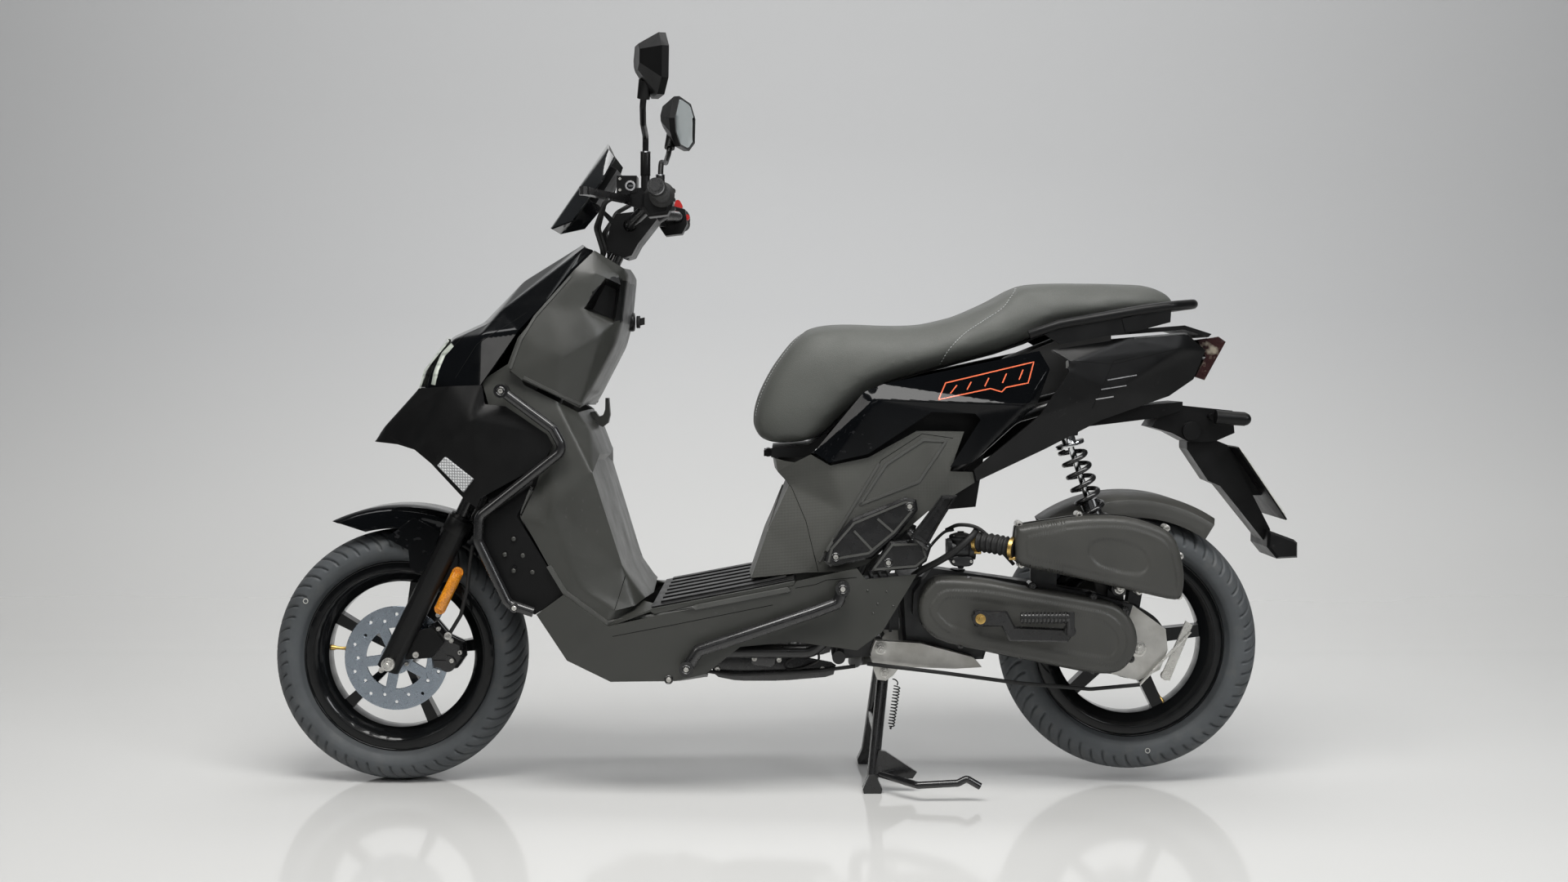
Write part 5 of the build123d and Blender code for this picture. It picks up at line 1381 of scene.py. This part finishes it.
def floor_fillers():
    """Closes the gaps between the ribbed floor deck, the footwell and the skirts' upper edges."""
    fill = Build()
    for side in (-1, 1):
        edge = mm([(-240, 345), (-232, 339), (-60, 374), (20, 391), (19, 399), (-60, 383), (-238, 349)])
        fill.slab(edge, side * 0.1815, side * 0.1885, 0.001)
        corners = [(-322, 186, 316), (-256, 138, 357), (-234, 138, 350.5), (-234, 187.5, 349)]
        top = mm([(x, side * y, z) for x, y, z in corners])
        low = [(x + 0.001, y, z - 0.003) for x, y, z in top]
        fill.rings([[Vector(p) for p in low], [Vector(p) for p in top]])
    fill.put("floor_edge_fillers", "chassis", "satin_grey")


def front_details():
    """Headlight side strips, painted highlight lines along the tail's top edge, lock surround, bar switches,
    reservoir windows, stem collars.
    """
    nose = Skin("nose_fairing")
    lamp, tail_highlight = Build(), Build()
    tail = Skin("tail_panels")
    for side in (-1, 1):
        strip_on(lamp, nose, [(-612, 822), (-630, 804), (-641, 776), (-647, 748)], 0.0130, 0.0012, side, 3.0)
        # The strip on the tail's top edge is a painted highlight.
        strip_on(tail_highlight, tail, [(640, 834), (740, 843), (796, 828)], 0.0040, 0.0010, side)
    lamp.put("headlight_side_strips", "chassis", "head_lens", 50)
    tail_highlight.put("tail_edge_highlights", "chassis", "highlight_grey", 50)
    lock = Build()
    lock.lathe((-0.3005, 0.052, 0.868), (1, 0, 0), [
        (0.0185, 0), (0.0185, 0.0085), (0.0172, 0.0110), (0.0142, 0.0112), (0.0136, 0.0090), (0.0136, 0.0060),
        (0, 0.0060),
    ], 32)
    lock.put("ignition_lock_surround", "chassis", "matte_black")
    red, rings, bolts, windows = Build(), Build(), Build(), Build()
    for outline, y_in, y_out, round_by in (
        ([(-224, 1102), (-208, 1098), (-205, 1107), (-212, 1120), (-220, 1119)], 0.190, 0.212, 0.003),
        ([(-203, 1090), (-194, 1091), (-191, 1085), (-194, 1079), (-203, 1078)], 0.196, 0.210, 0.002),
    ):
        red.slab(rounded(mm(outline), 2, 0.2), y_in, y_out, round_by)
    red.put("bar_switches", "steering", "switch_red")
    toggles = Build()
    for z in (1.094, 1.078, 1.062):
        toggle = [(-0.204, z - 0.0045), (-0.193, z - 0.0035), (-0.193, z + 0.0035), (-0.204, z + 0.0045)]
        toggles.slab(rounded(toggle, 2, 0.2), -0.210, -0.192, 0.002)
    toggles.put("bar_toggles", "steering", "rubber")
    for side in (-1, 1):
        at, out = (-0.2755, side * 0.177, 1.1055), (0, side, 0)
        rings.lathe(at, out, [
            (0.0094, 0), (0.0094, 0.0022), (0.0084, 0.0030), (0.0062, 0.0030), (0.0058, 0.0012), (0, 0.0010),
        ], 28)
        windows.lathe(at, out, [(0.0058, 0.0010), (0.0058, 0.0018), (0.004, 0.0022), (0, 0.0022)], 20)
        for x, z in ((-294, 1118), (-294, 1098)):
            bolt(bolts, x, z, side * 178, 2.6, 2.2, side)
    rings.put("reservoir_window_rings", "steering", "silver_line")
    windows.put("reservoir_windows", "steering", "smoke")
    bolts.put("reservoir_screws", "steering", "steel")
    for side, body in ((-1, "mirror_left"), (1, "mirror_right")):
        collar = Build()
        collar.lathe(
            (-0.249, side * 0.170, 1.1650), (0, 0, 1),
            [(0.0088, 0), (0.0098, 0.0004), (0.0098, 0.0026), (0.0078, 0.0034)], 24,
        )
        collar.put(f"{body}_collar", body, "chrome")


def underframe():
    """Brackets, bolts and wires under the floor, and the plain number board."""
    plates, wire, heads = Build(), Build(), Build()
    for side in (-1, 1):
        for outline, y_in, y_out in (
            (
                [(-140, 250), (-126, 214), (-86, 206), (-4, 206), (90, 214), (96, 238), (34, 250)], 0.1115,
                0.1175,
            ),
            ([(-60, 262), (-60, 236), (-18, 232), (-12, 262)], 0.117, 0.126),
        ):
            plates.slab(rounded(mm(outline), 1, 0.15), side * y_in, side * y_out, 0.002)
        for x, z in ((-54, 249), (-9, 247), (-122, 228), (70, 228)):
            bolt(heads, x, z, side * (126 if -60 < x < 0 else 117.4), 5.0, 4.0, side)
    guide = [
        (0.004, -0.119, 0.240), (0.030, -0.128, 0.256), (0.058, -0.130, 0.262), (0.062, -0.129, 0.246),
        (0.036, -0.124, 0.232), (0.008, -0.120, 0.228),
    ]
    wire.tube(curve(guide, 8, closed=True), 0.0022, 8, closed=True)
    run = [
        (-0.150, -0.121, 0.226), (-0.090, -0.126, 0.220), (-0.020, -0.126, 0.222), (0.060, -0.124, 0.226),
        (0.130, -0.122, 0.234),
    ]
    wire.tube(curve(run, 10), 0.0034, 10)
    plates.put("underframe_brackets", "chassis", "black_metal")
    wire.put("underframe_wires", "chassis", "rubber", 60)
    heads.put("underframe_bolts", "chassis", "steel")
    board = Build()
    lean = Vector((0.830, 0, 0.557))
    low, high = Vector((0.9345, 0, 0.4985)), Vector((0.8455, 0, 0.6310))
    across = Vector((0, 1, 0))
    rise = (high - low).normalized()
    half, tall = 0.0745, (high - low).length / 2
    corner = [(-half, -tall), (half, -tall), (half, tall), (-half, tall)]
    middle = (low + high) / 2
    rings = []
    for scale, off in ((1.0, 0.0006), (1.0, 0.0024), (0.985, 0.0032)):
        edge = rounded(corner, 2, 0.08)
        rings.append([middle + across * a * scale + rise * b * scale + lean * off for a, b in edge])
    board.rings(rings)
    board.put("number_board", "chassis", "pale_plastic")
    studs = Build()
    for a in (-0.042, 0.042):
        studs.lathe(
            middle + across * a + rise * 0.006 + lean * 0.003, lean,
            [(0.005, -0.001), (0.005, 0.0016), (0.0036, 0.0026), (0, 0.0026)], 18,
        )
    studs.put("number_board_screws", "chassis", "steel")


# ---------------------------------------------------------------- studio
def studio():
    """Backdrop sweep, soft lights, world and the default camera."""
    scene = bpy.context.scene
    scene.view_settings.view_transform = "Standard"
    paint = Paint("studio", (0.655, 0.655, 0.645), 0.1, specular=0.5)
    height = paint.node("ShaderNodeSeparateXYZ", {0: paint.place}).outputs[2]
    paint.shade(0.01, 0.7).bump(paint.noise(6, 3), 0.006, 0.002)
    # Darker with height up the sweep: painted shade on the wall, the floor kept lighter.
    paint.blend(paint.span(height, 0.02, 1.0), (0.56, 0.565, 0.57))
    wall_rough = paint.span(height, 0.0, 0.30, 0.09, 0.9)
    paint.rough = paint.maths("ADD", wall_rough, paint.span(paint.noise(3, 5), 0.3, 0.7, -0.02, 0.02))
    paint.done()
    width, front, back, top, bend = 12.0, -9.0, 3.6, 5.6, 2.3
    profile = [(front, 0.0), (back - bend, 0.0)]
    profile += [(back - bend + bend * sin(t), bend - bend * cos(t)) for t in np.linspace(0, pi / 2, 33)[1:]]
    profile += [(back, top)]
    points, faces = [], []
    for y, z in profile:
        points += [(-width, y, z), (width, y, z)]
    for i in range(len(profile) - 1):
        faces.append((2 * i, 2 * i + 1, 2 * i + 3, 2 * i + 2))
    mesh = bpy.data.meshes.new("backdrop")
    mesh.from_pydata(points, [], faces)
    for polygon in mesh.polygons:
        polygon.use_smooth = True
    sweep = bpy.data.objects.new("backdrop", mesh)
    scene.collection.objects.link(sweep)
    mesh.materials.append(MAT["studio"].material)
    world = bpy.data.worlds.new("studio")
    scene.world = world
    world.use_nodes = True
    world.node_tree.nodes["Background"].inputs[0].default_value = (0.80, 0.82, 0.85, 1)
    world.node_tree.nodes["Background"].inputs[1].default_value = 0.06

    def light(name, where, aim, size, power, colour=(1, 1, 1)):
        data = bpy.data.lights.new(name, "AREA")
        data.shape = "RECTANGLE"
        data.size, data.size_y = size
        data.energy = power
        data.color = colour
        lamp = bpy.data.objects.new(name, data)
        lamp.location = where
        lamp.rotation_euler = (Vector(aim) - Vector(where)).to_track_quat("-Z", "Y").to_euler()
        scene.collection.objects.link(lamp)

    light("overhead", (0.0, -1.6, 3.2), (0, -0.3, 0.0), (2.8, 1.2), 116, (1.0, 0.99, 0.97))
    light("front_left", (-3.2, -2.4, 2.7), (-0.2, 0, 0.7), (1.2, 1.4), 23, (1.0, 0.98, 0.95))
    light("front_right", (3.0, -2.8, 2.6), (0.3, 0, 0.5), (1.2, 1.4), 48, (0.96, 0.98, 1.0))
    light("camera_side", (0.3, -3.6, 1.5), (0, 0, 0.4), (3.2, 0.6), 7)
    light("behind", (0.2, 2.4, 2.9), (0, 0, 0.6), (3.0, 0.8), 12, (0.97, 0.98, 1.0))
    light("wall_wash", (0, 0.9, 4.6), (0, 3.6, 1.2), (7.0, 1.2), 112)
    data = bpy.data.cameras.new("camera")
    camera = bpy.data.objects.new("camera", data)
    camera.location = (0, -3.0, 0.78)
    camera.rotation_euler = (pi / 2, 0, 0)
    data.sensor_width = 36
    data.lens = 36.15
    data.shift_y = -0.0469
    data.dof.use_dof = False
    scene.collection.objects.link(camera)
    scene.camera = camera


painted_panels()
metals()
rubber_and_vinyl()
lenses()
studio()
dress_all()
wheel_details()
seat_cover()
covers()
springs()
grips()
mirror_glass()
fasteners()
seams()
carburettor()
floor_fillers()
front_details()
underframe()
bpy.context.view_layer.update()
